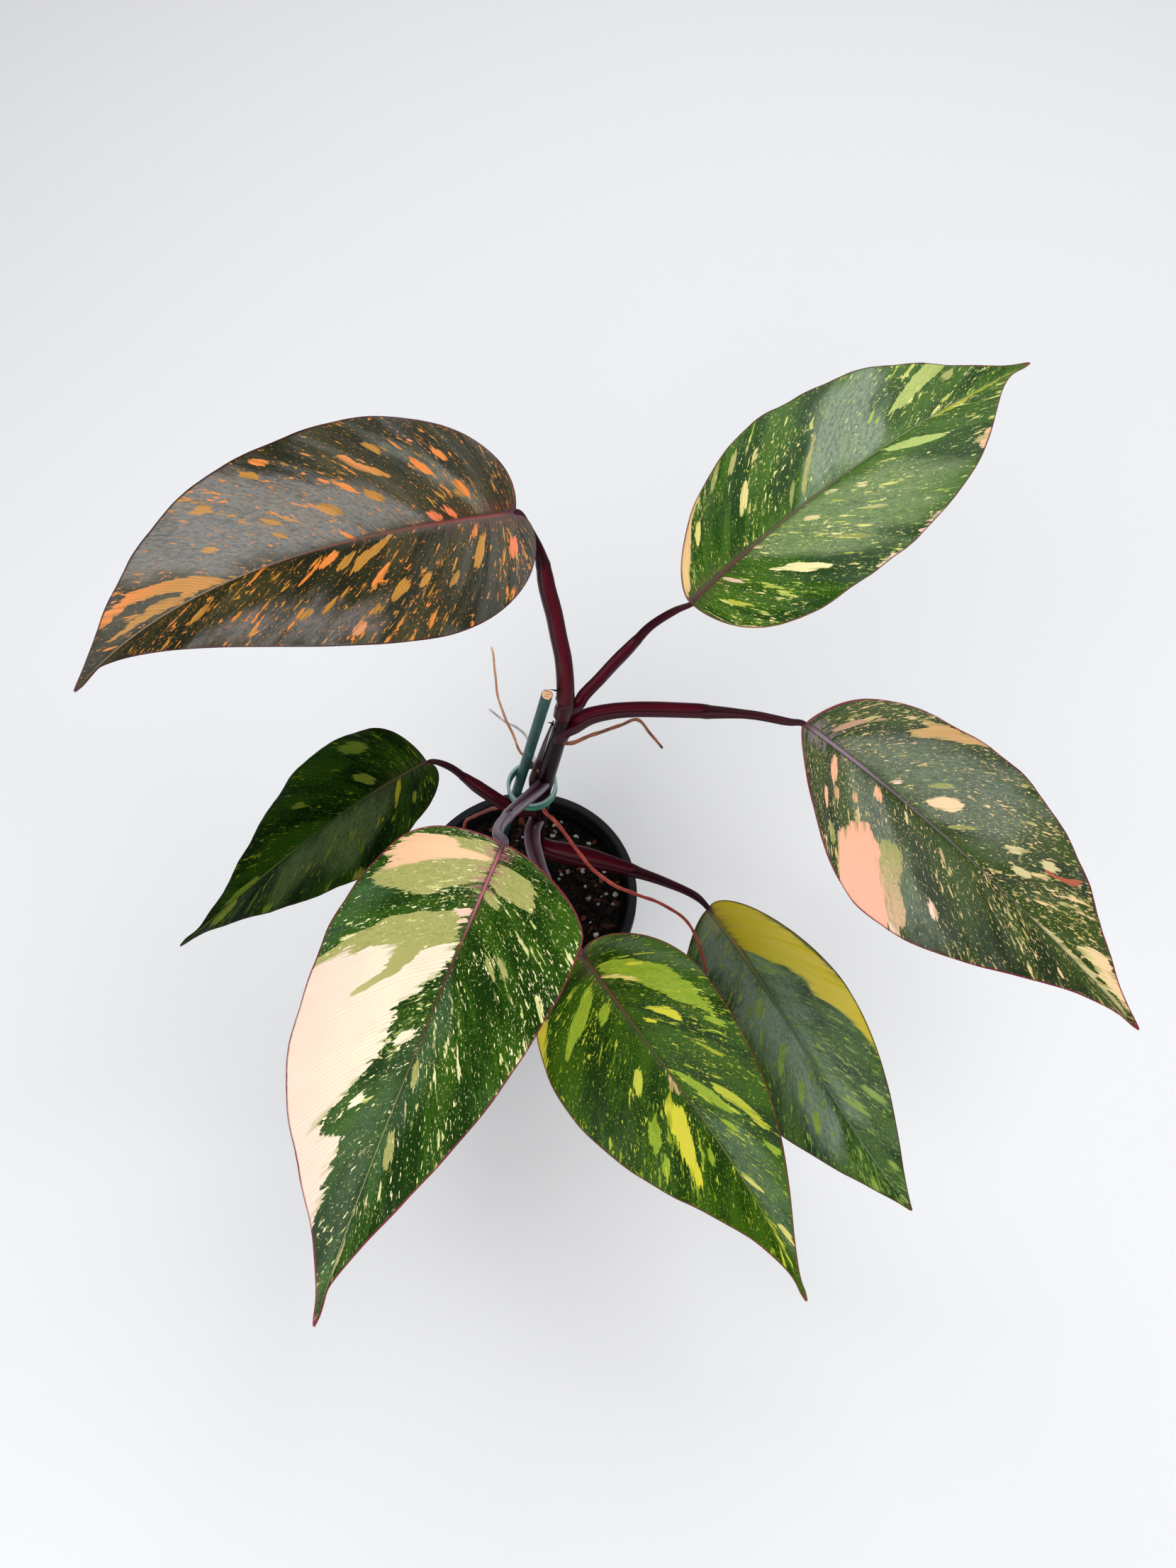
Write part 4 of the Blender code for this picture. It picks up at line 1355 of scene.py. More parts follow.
@dataclass(frozen=True)
class DryTip:
    """A withered point at the end of a sheath."""

    name: str
    route: tuple[Point, ...]
    radius: float = 0.55
    rows: int = 30
    columns: int = 14

    def mesh(self) -> bpy.types.Mesh:
        """A bent cone with a shrunken, five-sided ring.

        Returns:
            The mesh.
        """
        path = path_through(np.array(self.route), self.rows)
        share = (path.run / path.run[-1])[:, None]
        turn = round_turn(self.columns)
        radius = (self.radius * (1 - share) ** 0.7 + 0.05) * (1 + 0.2 * np.sin(5 * turn + 6 * share))
        grid = swept(path, radius)
        return closed_tube(self.name, grid, wrap_map(path.run, self.columns), {})

    def dress(self, material: bpy.types.Material) -> bpy.types.Object:
        """Builds the tip."""
        return add_piece(self.name, self.mesh(), material, "stalk_skin")


@dataclass(frozen=True)
class RootFinish:
    """The skin of an aerial root: two shades, with fine scurf."""

    shade: Colour
    light: Colour
    tip: Colour
    seed: float

    def material(self, name: str) -> bpy.types.Material:
        """Builds the skin from clouds on the object's place, paler or darker towards the root's tip.

        Args:
            name: the material's name.

        Returns:
            The material.
        """
        graph = Graph.named(name)
        place = graph.object_place()
        clouds = graph.noise(place, 180, self.seed, 3, 0.6)
        scurf = graph.noise(place, 1500, self.seed, 2, 0.6)
        colour = graph.mix(clouds.step(0.35, 0.65), self.shade, self.light)
        colour = graph.mix(scurf.step(0.5, 0.75) * 0.4, colour, self.light)
        colour = graph.mix(graph.attribute("share").step(0.9, 1.0), colour, self.tip)
        return graph.finish(
            Base_Color=colour, Roughness=0.5 + scurf * 0.2, Normal=graph.bump(scurf, 0.0001, 0.8))


@dataclass(frozen=True)
class Root:
    """An aerial root: a thin tube that wanders a little round its route."""

    name: str
    route: tuple[Point, ...]
    radii: tuple[float, ...]
    finish: RootFinish
    wander: float = 0.22
    rows: int = 130
    columns: int = 12

    def mesh(self) -> bpy.types.Mesh:
        """The tube: the route plus two slow sines across it, with a rounded and thinner tip.

        Returns:
            The mesh.
        """
        path = path_through(np.array(self.route), self.rows)
        run = path.run
        share = run / run[-1]
        bend = self.wander * np.sin(np.pi * share)
        seed = self.finish.seed
        sideways = bend * (np.sin(run / 3.7 + seed) + 0.5 * np.sin(run / 1.9 + 2 * seed))
        upwards = bend * np.sin(run / 4.6 + 3 * seed)
        points = path.points + sideways[:, None] * path.beside + upwards[:, None] * path.upward
        path = Path(points, path.along, path.upward, path.beside)
        radius = np.interp(share, np.linspace(0, 1, len(self.radii)), self.radii)
        radius = radius * (1 + 0.06 * np.sin(run / 1.3 + seed) + 0.05 * np.sin(run / 0.7))
        grid = swept(path, np.repeat(round_end(run, radius)[:, None], self.columns, axis=1))
        uv = wrap_map(path.run, self.columns)
        return closed_tube(self.name, grid, uv, {"share": share[:, None]})

    def dress(self, node: str) -> bpy.types.Object:
        """Builds the root and puts it in place of its solid."""
        material = self.finish.material(self.name + "_skin")
        return add_piece(self.name, self.mesh(), material, "root_" + node.rsplit("_", 1)[1], node)


# Stake and tie


@dataclass(frozen=True)
class Stake:
    """A painted stick, cut square, whose bare end grain shows at the top."""

    foot: Point = (-19.9, 30.6, 40)
    top: Point = (14.4, 8.2, 242.6)
    radius: float = 2.0
    columns: int = 36
    rows: int = 90

    def mesh(self) -> bpy.types.Mesh:
        """The stick, with slight flats and a chipped top edge.

        Returns:
            The mesh.
        """
        path = path_through(np.array([self.foot, self.top]), self.rows, (0, -1, 0))
        turn = round_turn(self.columns)
        uneven = 1 + 0.02 * np.sin(4 * turn + path.run[:, None] / 40) + 0.008 * np.sin(9 * turn)
        body = swept(path, self.radius * uneven)
        last = Path(path.points[-1:], path.along[-1:], path.upward[-1:], path.beside[-1:])
        chips = 0.06 * np.sin(5 * turn) + 0.04 * np.sin(11 * turn)
        caps = [swept(last, (self.radius - inset + chips * (inset < 0.5))[None]) + sink * last.along
                for inset, sink in ((0.10, 0.10), (0.28, 0.12), (0.9, 0.10), (1.6, 0.11))]
        grid = np.concatenate([body, *caps])
        cut = np.concatenate([np.zeros(len(body)), [0.0, 1, 1, 1]])
        length = np.concatenate([path.run, path.run[-1] + np.array([0.1, 0.3, 0.9, 1.6])])
        return closed_tube("stake", grid, wrap_map(length, self.columns), {"cut": cut[:, None]})

    def material(self) -> bpy.types.Material:
        """Dark blue-green paint with paler long streaks, and pale speckled wood where it is cut.

        Returns:
            The material.
        """
        graph = Graph.named("stake_paint")
        place = graph.object_place()
        streaks = graph.noise(place, (900, 900, 45), 2, 3, 0.6)
        wear = graph.noise(place, (260, 260, 60), 5, 3, 0.6)
        colour = graph.mix(streaks.step(0.4, 0.75), paint(4, 52, 50), paint(14, 84, 78))
        colour = graph.mix(wear.step(0.62, 0.8) * 0.6, colour, paint(52, 122, 112))
        pores = graph.noise(place, (2600, 2600, 900), 8, 2, 0.6)
        wood = graph.mix(pores.step(0.42, 0.6), paint(172, 104, 46), paint(238, 214, 172))
        wood = graph.mix(graph.noise(place, 1400, 9, 2).step(0.6, 0.7), wood, paint(198, 92, 30))
        cut = graph.attribute("cut")
        colour = graph.mix(cut.step(0.4, 0.6), colour, wood)
        relief = streaks + pores * cut
        return graph.finish(
            Base_Color=colour, Roughness=0.48 + cut * 0.35, Normal=graph.bump(relief, 0.0002, 0.7))

    def dress(self) -> bpy.types.Object:
        """Builds the stake and puts it in place of its solid."""
        return add_piece("painted_stake", self.mesh(), self.material(), "stake_paint", "stake")


@dataclass(frozen=True)
class Tie:
    """The soft ring that holds the stem to the stake."""

    centre: Point = (6.2, 12.3, 168.8)
    height: float = 5.0
    radius: float = 9.9
    wall: float = 1.2
    columns: int = 96

    def mesh(self) -> bpy.types.Mesh:
        """A turned band with rounded edges and a shallow groove round the middle of its outer face.

        Returns:
            The mesh.
        """
        half, inner = self.height / 2, self.radius - self.wall
        corners = [
            (inner, 0, 0), (inner, half, 0.5), (self.radius, half, 0.5), (self.radius, 0.9, 0.3),
            (self.radius - 0.18, 0.7, 0.2), (self.radius - 0.18, -0.7, 0.2), (self.radius, -0.9, 0.3),
            (self.radius, -half, 0.5), (inner, -half, 0.5), (inner, 0, 0),
        ]
        profile = rounded_profile(corners)[:-1]
        columns = self.columns
        section = turned_grid(profile, columns).transpose(1, 0, 2)
        tilt = 0.18 * np.sin(2 * round_turn(columns) + 0.6)
        section = section + tilt[:, None, None] * np.array([0, 0, 1.0])
        return joined_ring("tie", section + np.array(self.centre))

    def material(self) -> bpy.types.Material:
        """Satin green plastic, a little paler and bluer where light gets into its thin edges.

        Returns:
            The material.
        """
        graph = Graph.named("tie_plastic")
        place = graph.object_place()
        clouds = graph.noise(place, (140, 140, 300), 3, 2)
        height = graph.axis(place, 2)
        top = height.step((self.centre[2] + 1.5) * MM, (self.centre[2] + 2.4) * MM)
        colour = graph.mix(clouds.step(0.35, 0.7), paint(24, 96, 74), paint(52, 132, 100))
        colour = graph.mix(top * 0.85, colour, paint(150, 176, 182))
        grain = graph.noise(place, 1800, 4, 1)
        return graph.finish(
            Base_Color=colour, Roughness=0.36 + clouds * 0.12, Normal=graph.bump(grain, 0.00008, 0.5))

    def dress(self) -> bpy.types.Object:
        """Builds the tie and puts it in place of its solid."""
        return add_piece("soft_tie", self.mesh(), self.material(), "tie_plastic", "tie_ring")


def joined_ring(name: str, grid: np.ndarray) -> bpy.types.Mesh:
    """A closed band whose rows join end to end and whose columns join side to side.

    Args:
        name: the mesh's name.
        grid: points in millimetres, rows by columns.

    Returns:
        The mesh, with its faces outwards and shaded smooth.
    """
    rows, columns = grid.shape[:2]
    body = np.arange(rows * columns).reshape(rows, columns)
    row, column = np.mgrid[0:rows, 0:columns]
    below, beside = (row + 1) % rows, (column + 1) % columns
    quads = np.stack(
        [body[row, column], body[row, beside], body[below, beside], body[below, column]], axis=-1)
    mesh = bpy.data.meshes.new(name)
    mesh.from_pydata((grid.reshape(-1, 3) * MM).tolist(), [], quads.reshape(-1, 4).tolist())
    turn_outwards(mesh)
    mesh.shade_smooth()
    return mesh


def turn_outwards(mesh: bpy.types.Mesh) -> None:
    """Turns a closed mesh's faces outwards.

    Args:
        mesh: the mesh, which is changed.
    """
    work = bmesh.new()
    work.from_mesh(mesh)
    bmesh.ops.recalc_face_normals(work, faces=work.faces)
    work.to_mesh(mesh)
    work.free()


# Pot and soil


@dataclass(frozen=True)
class Pot:
    """A moulded nursery pot with a rolled lip, faint mould lines and holes in its floor."""

    height: float = 90
    rim_radius: float = 50
    foot_radius: float = 37
    wall: float = 1.2
    floor: float = 1.6
    lip_width: float = 2.6
    lip_drop: float = 6
    holes: int = 6
    hole_radius: float = 3.5
    hole_ring: float = 25
    columns: int = 144

    def wall_radius(self, height: float) -> float:
        """The plain wall's outer radius at a height."""
        top = self.rim_radius - self.lip_width
        return self.foot_radius + (top - self.foot_radius) * height / self.height

    def profile(self) -> np.ndarray:
        """The section, from the floor's middle up inside, over the lip, down outside and under.

        Returns:
            The (radius, height) points in millimetres.
        """
        inside = self.wall_radius(self.height) - self.wall
        low = self.wall_radius(self.floor) - self.wall
        under = self.height - self.lip_drop
        corners = [
            (0.5, self.floor, 0), (low, self.floor, 2.0), (inside, self.height, 0.9),
            (self.rim_radius, self.height, 0.9), (self.rim_radius, under, 0.5),
            (self.wall_radius(under) + 0.2, under, 0.4), (self.wall_radius(under - 2), under - 2, 0.6),
            (self.wall_radius(70) + 0.12, 70, 0.5), (self.wall_radius(69.4) - 0.05, 69.4, 0.3),
            (self.wall_radius(9) - 0.05, 9, 0.3), (self.wall_radius(8.4) - 0.45, 8.4, 0.3),
            (self.wall_radius(2) - 0.3, 2, 1.5), (self.foot_radius - 1.4, 0, 0.5),
            (self.foot_radius - 3.4, 0, 0.3), (self.foot_radius - 3.9, 0.6, 0.3), (0.5, 0.6, 0),
        ]
        return rounded_profile(corners)

    def mesh(self) -> bpy.types.Mesh:
        """The turned wall, with its drain holes cut out.

        Returns:
            The mesh.
        """
        profile = self.profile()
        grid = turned_grid(profile, self.columns)
        mesh = closed_tube("pot", grid, wrap_map(run_along(profile), self.columns), {})
        return cut_holes(mesh, self.hole_ring, self.hole_radius, self.holes)

    def material(self) -> bpy.types.Material:
        """Satin black plastic with fine scuffs, and dust that lies more towards the foot.

        Returns:
            The material.
        """
        graph = Graph.named("pot_plastic")
        place = graph.object_place()
        clouds = graph.noise(place, (40, 40, 90), 1, 3, 0.6)
        scuffs = graph.noise(place, (700, 700, 60), 2, 3, 0.7).step(0.62, 0.8)
        grain = graph.noise(place, 2200, 3, 1)
        height = graph.axis(place, 2)
        dust = height.step(0.05, 0.0) * clouds.step(0.4, 0.7)
        colour = graph.mix(clouds.step(0.35, 0.7), paint(8, 10, 12), paint(17, 20, 25))
        colour = graph.mix(scuffs * 0.2 + dust * 0.15, colour, paint(62, 66, 72))
        return graph.finish(
            Base_Color=colour, Roughness=0.46 + clouds * 0.12 + scuffs * 0.12,
            Normal=graph.bump(grain + scuffs * 0.5, 0.00006, 0.6), Specular_IOR_Level=0.17)

    def dress(self) -> bpy.types.Object:
        """Builds the pot and puts it in place of its solid."""
        return add_piece("nursery_pot", self.mesh(), self.material(), "pot_plastic", "pot")


def cut_holes(mesh: bpy.types.Mesh, ring: float, radius: float, count: int) -> bpy.types.Mesh:
    """Cuts round holes through a pot's floor.

    Args:
        mesh: the pot's mesh.
        ring: the radius in millimetres on which the holes lie.
        radius: the holes' own radius in millimetres.
        count: how many there are.

    Returns:
        The mesh with its holes.
    """
    work = bmesh.new()
    for i in range(count):
        turn = 2 * math.pi * i / count
        shift = (ring * MM * math.cos(turn), ring * MM * math.sin(turn), 0)
        made = bmesh.ops.create_cone(
            work, cap_ends=True, segments=32, radius1=radius * MM, radius2=radius * MM, depth=0.01)
        bmesh.ops.translate(work, verts=made["verts"], vec=shift)
    drills = bpy.data.meshes.new("drills")
    work.to_mesh(drills)
    work.free()
    cutter, target = place_object("drills", drills), place_object("drilled", mesh)
    boolean = target.modifiers.new("Holes", "BOOLEAN")
    boolean.operation = "DIFFERENCE"
    boolean.solver = "EXACT"
    boolean.object = cutter
    bpy.context.view_layer.update()
    solid = target.evaluated_get(bpy.context.evaluated_depsgraph_get())
    done = bpy.data.meshes.new_from_object(solid)
    for made in (cutter, target):
        bpy.data.objects.remove(made)
    done.set_sharp_from_angle(angle=math.radians(50))
    return done


class Grain(Enum):
    """The kinds of loose grain on the soil."""

    CRUMB = "crumb"
    PERLITE = "perlite"
    BARK = "bark"


@dataclass(frozen=True)
class GrainFinish:
    """Rough grains, each with its own shade between two colours."""

    low: Colour
    high: Colour
    spots: Colour
    roughness: float

    def material(self, name: str) -> bpy.types.Material:
        """Builds the finish from each grain's own number, with darker pits.

        Args:
            name: the material's name.

        Returns:
            The material.
        """
        graph = Graph.named(name)
        place = graph.object_place()
        pits = graph.noise(place, 1300, 2, 3, 0.6)
        colour = graph.mix(graph.attribute("grain"), self.low, self.high)
        colour = graph.mix(pits.step(0.55, 0.75) * 0.6, colour, self.spots)
        return graph.finish(
            Base_Color=colour, Roughness=self.roughness, Normal=graph.bump(pits, 0.0004, 0.8),
            Specular_IOR_Level=0.15)


@dataclass(frozen=True)
class GrainShape:
    """One kind of grain: how many there are, and their form.

    size and stretch are the least and the most, in millimetres and as shares, and power bends the
    spread of sizes. squash scales the grains along their own axes, rough is how far their points are
    pushed in and out, lift how far their middles stand above the soil as a share of their size, and
    splits how often the ball that they start from is subdivided. Level ones lie nearly flat.
    """

    count: int
    size: tuple[float, float]
    stretch: tuple[float, float]
    rough: float
    lift: float
    splits: int = 2
    power: float = 1.0
    squash: Point = (1.0, 1.0, 1.0)
    level: bool = False


GRAINS = {
    Grain.CRUMB: GrainShape(2600, (0.35, 1.5), (0.5, 1.5), 0.28, 0.1, splits=1, power=1.3),
    Grain.PERLITE: GrainShape(80, (0.6, 1.55), (0.8, 1.1), 0.1, 0.35),
    Grain.BARK: GrainShape(120, (0.9, 2.4), (0.7, 1.4), 0.16, 0.15, squash=(1.3, 0.7, 0.4), level=True),
}

SHOWN_PERLITE = (
    (12.6, 32.9, 1.5), (22.5, 30.7, 1.45), (28.5, 27.1, 1.3), (11.7, 26.6, 0.9), (8.8, 36.3, 0.9),
    (28.8, -0.4, 1.2), (32.7, -2.4, 1.1), (39.5, -2.4, 1.1),
)


@dataclass(frozen=True)
class Soil:
    """The potting mix: a waved, crumbly top on a plain fill, with loose grains on it."""

    level: float = 81
    mound: float = 2.5
    mound_spread: float = 14
    mound_at: tuple[float, float] = (3, 21)
    waves: float = 0.9
    settled: float = 0.5
    gap: float = 0.3
    rings: int = 110
    columns: int = 220
    seed: int = 11

    CRUMB_SIZES = (4.2, 2.9, 2.1, 1.5, 1.1)
    CRUMB_SINES = 5
    CRUMB_HEIGHT = 0.09
    CRUMB_FOLD = 3.2
    RIM_FADE = 4

    def top(self, x: np.ndarray, y: np.ndarray) -> np.ndarray:
        """The soil's height: level, a mound at the stem's foot, and low waves from crossed sines.

        Args:
            x, y: places in millimetres.

        Returns:
            One height for each place, in millimetres.
        """
        away = ((x - self.mound_at[0]) ** 2 + (y - self.mound_at[1]) ** 2) / self.mound_spread ** 2
        waves = np.sin(x / 3.1 + 1.3 * np.sin(y / 5.2)) * np.cos(y / 3.7)
        return self.level + self.mound * np.exp(-away) + self.waves * waves

    def crumble(self, x: np.ndarray, y: np.ndarray) -> np.ndarray:
        """Fine relief: the sum of many crossed sines, folded so that it forms crumbs.

        Args:
            x, y: places in millimetres.

        Returns:
            One height over the plain top for each place, in millimetres.
        """
        draw = np.random.default_rng(self.seed)
        total = np.zeros_like(x)
        for size in self.CRUMB_SIZES:
            turn, start = draw.uniform(0, 2 * np.pi, (2, self.CRUMB_SINES))
            across = np.cos(turn) * x[..., None] + np.sin(turn) * y[..., None]
            waves = np.sin(across * 2 * np.pi / size + start)
            folded = 1 - np.abs(waves.mean(axis=-1)) * self.CRUMB_FOLD
            total = total + size * self.CRUMB_HEIGHT * folded
        return total

    def mesh(self, pot: Pot) -> bpy.types.Mesh:
        """The fill: a flat foot, a side just inside the pot, and the crumbly top.

        Args:
            pot: the pot that it fills.

        Returns:
            The mesh.
        """
        foot = pot.floor + self.gap
        low = pot.wall_radius(foot) - pot.wall - self.gap
        high = pot.wall_radius(self.level) - pot.wall - self.gap
        rest = self.level - self.waves
        side = np.array([(0.5, foot), (low - 1.5, foot), (low, foot + 1.5), (high, rest)])
        inward = high * (1 - np.linspace(0.004, 0.996, self.rings))
        top = np.stack([inward, np.full(self.rings, self.level)], axis=1)
        profile = np.concatenate([side, top])
        grid = turned_grid(profile, self.columns)
        x, y = grid[len(side):, :, 0], grid[len(side):, :, 1]
        fade = np.clip((high - np.hypot(x, y)) / self.RIM_FADE, 0, 1)
        crumbs = self.crumble(x, y) * (0.3 + 0.7 * fade) - self.settled
        grid[len(side):, :, 2] += (self.top(x, y) - self.level) * fade + crumbs
        return closed_tube("soil", grid, wrap_map(run_along(profile), self.columns), {})

    def material(self) -> bpy.types.Material:
        """Near-black peat with brown fibre and a gritty relief.

        Returns:
            The material.
        """
        graph = Graph.named("peat")
        place = graph.object_place()
        clouds = graph.noise(place, 190, 1, 4, 0.65)
        fibre = graph.noise(place, (900, 300, 900), 2, 3, 0.7)
        colour = graph.mix(clouds.step(0.4, 0.68), paint(5, 4, 3), paint(20, 14, 10))
        colour = graph.mix(fibre.step(0.62, 0.76) * 0.6, colour, paint(56, 34, 22))
        grit = graph.noise(place, 1200, 3, 2, 0.6)
        return graph.finish(
            Base_Color=colour, Roughness=0.92, Normal=graph.bump(grit + fibre, 0.0009, 0.9),
            Specular_IOR_Level=0.15)

    def grains(self, kind: Grain, reach: float) -> bpy.types.Mesh:
        """Loose grains of one kind, all in one mesh.

        Each is a rough ball of a few dozen faces: its points are pushed in and out at random, it is
        stretched and turned, and it is sunk into the soil by a part of its size. The first grains of
        perlite are those that show best, as (x, y, size).

        Args:
            kind: which kind.
            reach: how far from the pot's middle they lie, in millimetres.

        Returns:
            The mesh.
        """
        form = GRAINS[kind]
        draw = np.random.default_rng(self.seed + list(Grain).index(kind))
        radius = reach * np.sqrt(draw.random(form.count))
        turn = draw.uniform(0, 2 * np.pi, form.count)
        x, y = radius * np.cos(turn), radius * np.sin(turn)
        size = draw.uniform(*form.size, form.count) ** form.power
        stretch = draw.uniform(*form.stretch, (form.count, 3)) * form.squash
        if kind is Grain.PERLITE:
            for whole, shown in zip((x, y, size), zip(*SHOWN_PERLITE)):
                whole[:len(shown)] = shown
        shape = bmesh.new()
        bmesh.ops.create_icosphere(shape, subdivisions=form.splits, radius=1)
        ball = np.array([vertex.co[:] for vertex in shape.verts])
        faces = np.array([[vertex.index for vertex in face.verts] for face in shape.faces])
        shape.free()
        rough = 1 + form.rough * draw.normal(size=(form.count, len(ball), 1))
        points = ball * rough * (size[:, None] * stretch)[:, None]
        points = np.einsum("nij,nkj->nki", random_turns(draw, form.count, form.level), points)
        middles = np.stack([x, y, self.top(x, y) + size * form.lift], axis=1)
        points = (points + middles[:, None]).reshape(-1, 3) * MM
        faces = faces + (np.arange(form.count) * len(ball))[:, None, None]
        mesh = bpy.data.meshes.new(kind.value)
        mesh.from_pydata(points.tolist(), [], faces.reshape(-1, 3).tolist())
        shade = np.repeat(draw.random(form.count), len(ball)).astype(np.float32)
        mesh.attributes.new("grain", "FLOAT", "POINT").data.foreach_set("value", shade)
        if kind is not Grain.CRUMB:
            mesh.shade_smooth()
        return mesh

    def dress(self, pot: Pot) -> None:
        """Builds the fill and its grains.

        Args:
            pot: the pot that it fills.
        """
        reach = pot.wall_radius(self.level) - pot.wall - 2.5
        add_piece("potting_mix", self.mesh(pot), self.material(), "soil", "soil")
        finishes = {
            Grain.CRUMB: GrainFinish(paint(5, 4, 3), paint(25, 17, 12), paint(3, 2, 2), 0.95),
            Grain.PERLITE: GrainFinish(paint(96, 92, 88), paint(176, 172, 166), paint(74, 68, 64), 0.85),
            Grain.BARK: GrainFinish(paint(20, 11, 8), paint(100, 55, 31), paint(14, 8, 6), 0.85),
        }
        for kind, finish in finishes.items():
            mesh = self.grains(kind, reach)
            add_piece("soil_" + kind.value, mesh, finish.material(kind.value), "soil")


LEVEL_TIP = 0.18


def random_turns(draw: np.random.Generator, count: int, flat: bool) -> np.ndarray:
    """Random turns as matrices, from unit quaternions; flat ones stay near level.

    Args:
        draw: the random numbers.
        count: how many.
        flat: whether they tip only a little.

    Returns:
        One 3 by 3 matrix for each.
    """
    tip = LEVEL_TIP if flat else 1.0
    w, x, y, z = unit(draw.normal(size=(count, 4)) * (1, tip, tip, 1)).T
    rows = [
        (1 - 2 * (y * y + z * z), 2 * (x * y - w * z), 2 * (x * z + w * y)),
        (2 * (x * y + w * z), 1 - 2 * (x * x + z * z), 2 * (y * z - w * x)),
        (2 * (x * z - w * y), 2 * (y * z + w * x), 1 - 2 * (x * x + y * y)),
    ]
    return np.stack([np.stack(row, axis=-1) for row in rows], axis=1)


# The plant's own colours, leaves, stalks and roots

CREAM = paint(250, 236, 206)
BLUSH = paint(249, 208, 186)
PEACH = paint(246, 206, 160)
SALMON = paint(244, 174, 136)
OLIVE = paint(150, 152, 84)
LIME = paint(170, 168, 100)
LEAF_LIME = paint(142, 166, 44)
PEA = paint(136, 162, 64)
SUN = paint(194, 184, 2)
LEMON = paint(206, 204, 48)
OCHRE = paint(178, 124, 30)
ORANGE = paint(228, 128, 38)

LEFT, RIGHT = Side.LEFT, Side.RIGHT
BLOOM, MIDDLE, PALE, OVER = Layer
